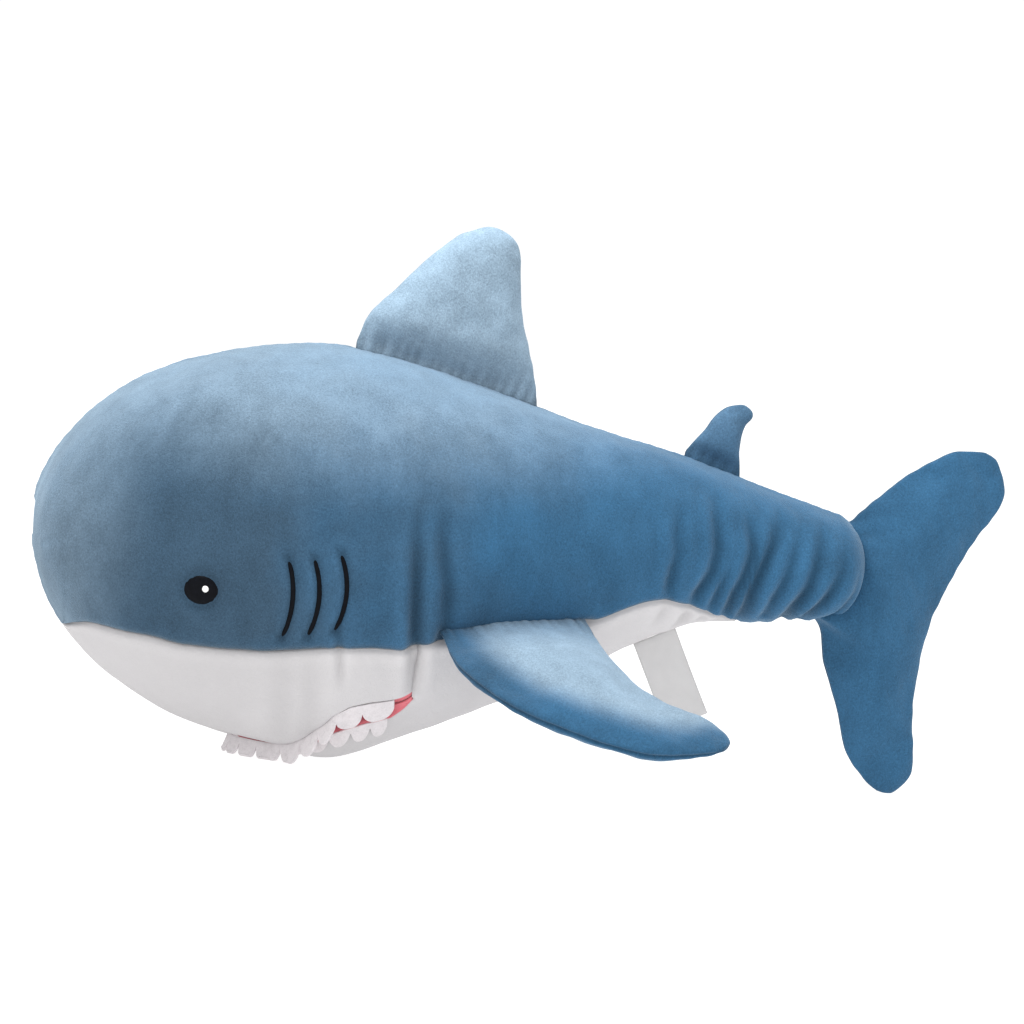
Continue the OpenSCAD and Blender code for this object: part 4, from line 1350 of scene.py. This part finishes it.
def spread_evenly(mesh, values, rounds):
    """Values at a mesh's points, evened out with their neighbours'."""
    edges = np.zeros(len(mesh.edges) * 2, int)
    mesh.edges.foreach_get("vertices", edges)
    one, two = edges.reshape(-1, 2).T
    count = np.bincount(edges, minlength=len(values))[:, None]
    for _ in range(rounds):
        total = np.zeros_like(values)
        np.add.at(total, one, values[two])
        np.add.at(total, two, values[one])
        values = lerp(values, total / np.maximum(count, 1), 0.5)
    return values


def vertex_values(piece, name):
    """The places ("co") or the normals ("normal") of a piece's vertices."""
    values = np.zeros(len(piece.data.vertices) * 3)
    piece.data.vertices.foreach_get(name, values)
    return values.reshape(-1, 3)


def set_points(piece, points):
    """Moves a piece's vertices to points."""
    piece.data.vertices.foreach_set("co", np.asarray(points, float).ravel())
    piece.data.update()


def refine(piece):
    """A finer, softened mesh."""
    fine = piece.modifiers.new("fine", "SUBSURF")
    fine.levels = fine.render_levels = 2
    soft = piece.modifiers.new("soft", "SMOOTH")
    soft.factor = 0.5
    soft.iterations = 3
    return bake_modifiers(piece)


def sew_fin(piece, outline, root, plane_normal, seed, gather, pitch, reach, painted_light=None, pressed=None):
    """Presses in a fin's edge seam with its puckers, and the gathers at its root.

    The painted light function gives the share of painted light at points and normals, and painted shade
    darkens a band along pressed.
    """
    points = vertex_values(piece, "co") / MM
    normals = vertex_values(piece, "normal")
    d, t = near_line(points, outline)
    length = np.linalg.norm(np.diff(outline, axis=0), axis=1).sum()
    beside = np.abs((points - outline[0]) @ plane_normal)
    groove = bell(beside, 1.2) * bell(d, 6)
    puckers = gathers(t, d, 10, length, 8, seed)
    offset = -1.1 * groove + 0.28 * puckers * (1 - bell(beside, 1.5))
    offset += 0.5 * lumps(points, 34, seed + 1) * (1 - bell(d, 5)) + 0.25 * lumps(points, 14, seed + 2)
    # Painted shade in the edge seam's groove and in its puckers.
    painted_mark = 0.75 * groove - 0.2 * puckers
    away, along = near_line(points, root)
    size = np.linalg.norm(np.diff(root, axis=0), axis=1).sum()
    away = np.maximum(away - ROOT_REACH, 0)
    folds = gathers(along, away, pitch, size, reach, seed + 5)
    offset += gather * folds
    # Painted shade along the root and in its gathers.
    painted_mark += 0.12 * bell(away, 4) - 0.45 * folds
    # Painted shade in a band along pressed, the pectoral fin's front edge.
    if pressed is not None:
        painted_mark += 0.15 * (1 - ramp(near_line(points, pressed)[0], 6, 26))
    set_points(piece, (points + offset[:, None] * normals) * MM)
    set_painted_light(piece.data, painted_mark)
    # Painted light on the fin, from the given share.
    if painted_light:
        set_painted_light(piece.data, painted_light(points, normals), "painted_light")
    return piece


def outline_of(rows, tips, grow, count=90):
    """The fin's edge: down its front, round its tip, and back along its rear."""
    k = np.linspace(0, 1, count)
    v = lerp(k, 0.5 - 0.5 * np.cos(math.pi * k), 0.75)
    front = fin_points(rows, v, 0 * v, tips, grow)
    rear = fin_points(rows, v, 0 * v + 1, tips, grow)[::-1]
    return np.concatenate([front, rear])


def seam_pins(outline, origin, up, *tips):
    """Holds a fin's edge seam, its tips and everything below its root."""
    def pins(points):
        held = (near_line(points, outline)[0] < 0.7) | ((points - origin) @ up < 0.5)
        for tip in tips:
            held |= np.linalg.norm(points - tip, axis=1) < 9
        return held
    return pins


# The fins on the back: name, rows, thickness
UPRIGHT_FINS = (
    ("dorsal", DORSAL, 15),
    ("rear_dorsal", REAR_DORSAL, 6.5),
)


class SHARK_OT_upright_fins(bpy.types.Operator):
    """Stuff the dorsal fin and the small hooked fin behind it"""

    bl_idname = "shark.upright_fins"
    bl_label = "Dorsal fins"

    def execute(self, context):
        sizes = context.scene.shark_sizes
        side = np.array((0, 1.0, 0))
        for k, (name, rows, thick) in enumerate(UPRIGHT_FINS):
            small = thick < 10
            tips, grow = ((0, 0.22), 1.16) if small else ((0, 0.15), 1.05)
            outline = outline_of(rows, tips, grow)
            one, two = fin_start(rows, thick, 7, False, (26, 18) if small else (48, 34), tips, grow)
            _, front_x, front_z, rear_x, rear_z = rows[0]
            start = np.array((front_x + rear_x, 0, front_z + rear_z)) / 2
            slope = unit(np.array((rear_x - front_x, 0, rear_z - front_z), float))
            up = np.array((-slope[2], 0, slope[0]))
            pins = seam_pins(outline, start, up, outline[len(outline) // 2])
            piece = puffed(f"plush_{name}_fin", one, two, blue_plush(), sizes, pins, 2.5 if small else 5)
            refine(piece)
            root = root_lines()[name]
            # Painted light on the fin: top is how much paler it is painted, a little less near its root.
            top = 0.15 if small else 0.88

            def painted_light_share(points, normals, root=root, top=top):
                return lerp(0.9 * top, top, ramp(near_line(points, root)[0], 6, 28))

            gather, reach = (0.5, 6) if small else (1.1, 12)
            sew_fin(piece, outline, root, side, 100 + 20 * k, gather, 7, reach, painted_light_share)
            nodes = (f"{name}_{part}" for part in ("fill", "panel_left", "panel_right"))
            finish_piece(piece, "blue_plush", None, *nodes)
            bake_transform(piece)
        return {"FINISHED"}


class SHARK_OT_tail_fin(bpy.types.Operator):
    """Stuff the two-lobed tail fin"""

    bl_idname = "shark.tail_fin"
    bl_label = "Tail fin"

    def execute(self, context):
        sizes = context.scene.shark_sizes
        side = np.array((0, 1.0, 0))
        tips, grow = (0.07, 0.08), 1.04
        outline = outline_of(CAUDAL, tips, grow, 130)
        one, two = fin_start(CAUDAL, 12, 0, True, (80, 26), tips, grow)
        edge = np.concatenate([one[:, 0], one[::-1, -1]])
        pins = seam_pins(edge, np.zeros(3), np.array((0, 0, 1.0)), outline[0], outline[len(outline) // 2])
        piece = puffed("plush_tail_fin", one, two, blue_plush(), sizes, pins, 5)
        refine(piece)
        sew_fin(piece, outline, np.array(CAUDAL_ROOT, float), side, 160, 0.8, 10, 10)
        finish_piece(piece, "blue_plush", None, "caudal_fill", "caudal_panel_left", "caudal_panel_right")
        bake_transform(piece)
        return {"FINISHED"}


class SHARK_OT_pectoral_fins(bpy.types.Operator):
    """Stuff the two pectoral fins"""

    bl_idname = "shark.pectoral_fins"
    bl_label = "Pectoral fins"

    def execute(self, context):
        sizes = context.scene.shark_sizes
        along = unit(PECTORAL_REAR - PECTORAL_FRONT)
        up = unit(np.cross(PECTORAL_TIP - PECTORAL_FRONT, along))
        out = np.cross(along, up)
        turn = np.stack([along, up, out])

        def placed(points):
            return PECTORAL_FRONT + points @ turn

        def swept(points):
            """The far fin lies a little further forward towards its tip."""
            share = ((points - PECTORAL_FRONT) @ out) / PECTORAL_SPAN
            return points - FAR_SWEEP * share[..., None] ** 2 * along

        tips, grow = (0, 0.14), 1.04
        outline = placed(outline_of(PECTORAL, tips, grow))
        one, two = (placed(p) for p in fin_start(PECTORAL, 12, 9, False, (50, 30), tips, grow))
        for name, mirror in (("left", 1), ("right", -1)):
            flip = np.array((1.0, mirror, 1.0))
            if mirror < 0:
                one, two, outline = (swept(points) for points in (one, two, outline))
            edge = outline * flip
            pins = seam_pins(edge, PECTORAL_FRONT * flip, out * flip, edge[len(edge) // 2])
            piece = puffed(f"plush_pectoral_fin_{name}", one * flip, two * flip, blue_plush(), sizes, pins, 5)
            refine(piece)
            front = edge[:len(edge) // 2]
            root = root_lines()[f"pectoral_{name}"]

            # Painted light on the fin's upward-facing side, less near its root and fading out towards its
            # front edge, where the painted shade band lies.
            def painted_light_share(points, normals, front=front, flip=flip, root=root):
                top = ramp(normals @ (up * flip), -0.1, 0.5)
                top = top * lerp(0.56, 1, ramp(near_line(points, root)[0], 4, 44))
                return 0.92 * top * ramp(near_line(points, front)[0], 10, 31)

            sew_fin(piece, edge, root, up * flip, 200 + mirror, 0.8, 6, 9, painted_light_share, front)
            nodes = (f"pectoral_{part}_{name}" for part in ("fill", "upper", "lower"))
            finish_piece(piece, "blue_plush", None, *nodes)
            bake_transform(piece)
        return {"FINISHED"}


# ---------- the care label ----------


class SHARK_OT_label(bpy.types.Operator):
    """Hang the blank care label from its seam under the belly"""

    bl_idname = "shark.label"
    bl_label = "Care label"

    def execute(self, context):
        tape = tape_material("satin_label_tape", tuple(context.scene.shark_colours.label))
        width, length = LABEL_SIZE
        u, v = np.meshgrid(np.linspace(0, 1, 22), np.linspace(0, 1, 40), indexing="ij")
        swing = 2.2 * np.sin(v * 2.6) * (0.4 + 0.6 * u) - 1.0 * v * v
        hem = 0.25 * bell(v - 0.03, 0.012) - 0.2 * bell(v - 0.055, 0.01)
        local = np.stack([u * width, swing + hem, -v * length], -1)
        turn = math.radians(LABEL_TURN)
        x = local[..., 0] * math.cos(turn) + local[..., 2] * math.sin(turn)
        z = -local[..., 0] * math.sin(turn) + local[..., 2] * math.cos(turn)
        grid = np.array(LABEL_CORNER, float) + np.stack([x, local[..., 1], z], -1)
        piece = make_piece("care_label_tape", grid, grid_faces(22, 40), tape)
        thicken(piece, 0.7, 0.0)
        finish_piece(piece, "label_tape", "care_label", "care_label")
        return {"FINISHED"}


class SHARK_PT_panel(bpy.types.Panel):
    """Makes the toy's pieces in sewing order"""

    bl_label = "Plush Shark"
    bl_idname = "SHARK_PT_panel"
    bl_space_type = "VIEW_3D"
    bl_region_type = "UI"
    bl_category = "Plush Shark"

    def draw(self, context):
        layout = self.layout
        for group in (context.scene.shark_sizes, context.scene.shark_colours):
            for name in group.bl_rna.properties.keys():
                if name not in ("rna_type", "name"):
                    layout.prop(group, name)
        for operator in OPERATORS:
            layout.operator(operator.bl_idname)


OPERATORS = (SHARK_OT_stage, SHARK_OT_sides, SHARK_OT_white, SHARK_OT_mouth, SHARK_OT_embroidery,
             SHARK_OT_upright_fins, SHARK_OT_tail_fin, SHARK_OT_pectoral_fins, SHARK_OT_label)
CLASSES = (SharkSizes, SharkColours, *OPERATORS, SHARK_PT_panel)


def register():
    for cls in CLASSES:
        bpy.utils.register_class(cls)
    bpy.types.Scene.shark_sizes = PointerProperty(type=SharkSizes)
    bpy.types.Scene.shark_colours = PointerProperty(type=SharkColours)


def unregister():
    del bpy.types.Scene.shark_sizes, bpy.types.Scene.shark_colours
    for cls in reversed(CLASSES):
        bpy.utils.unregister_class(cls)


def main():
    register()
    for operator in OPERATORS:
        group, name = operator.bl_idname.split(".")
        getattr(getattr(bpy.ops, group), name)()
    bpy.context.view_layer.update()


if __name__ == "__main__":
    main()
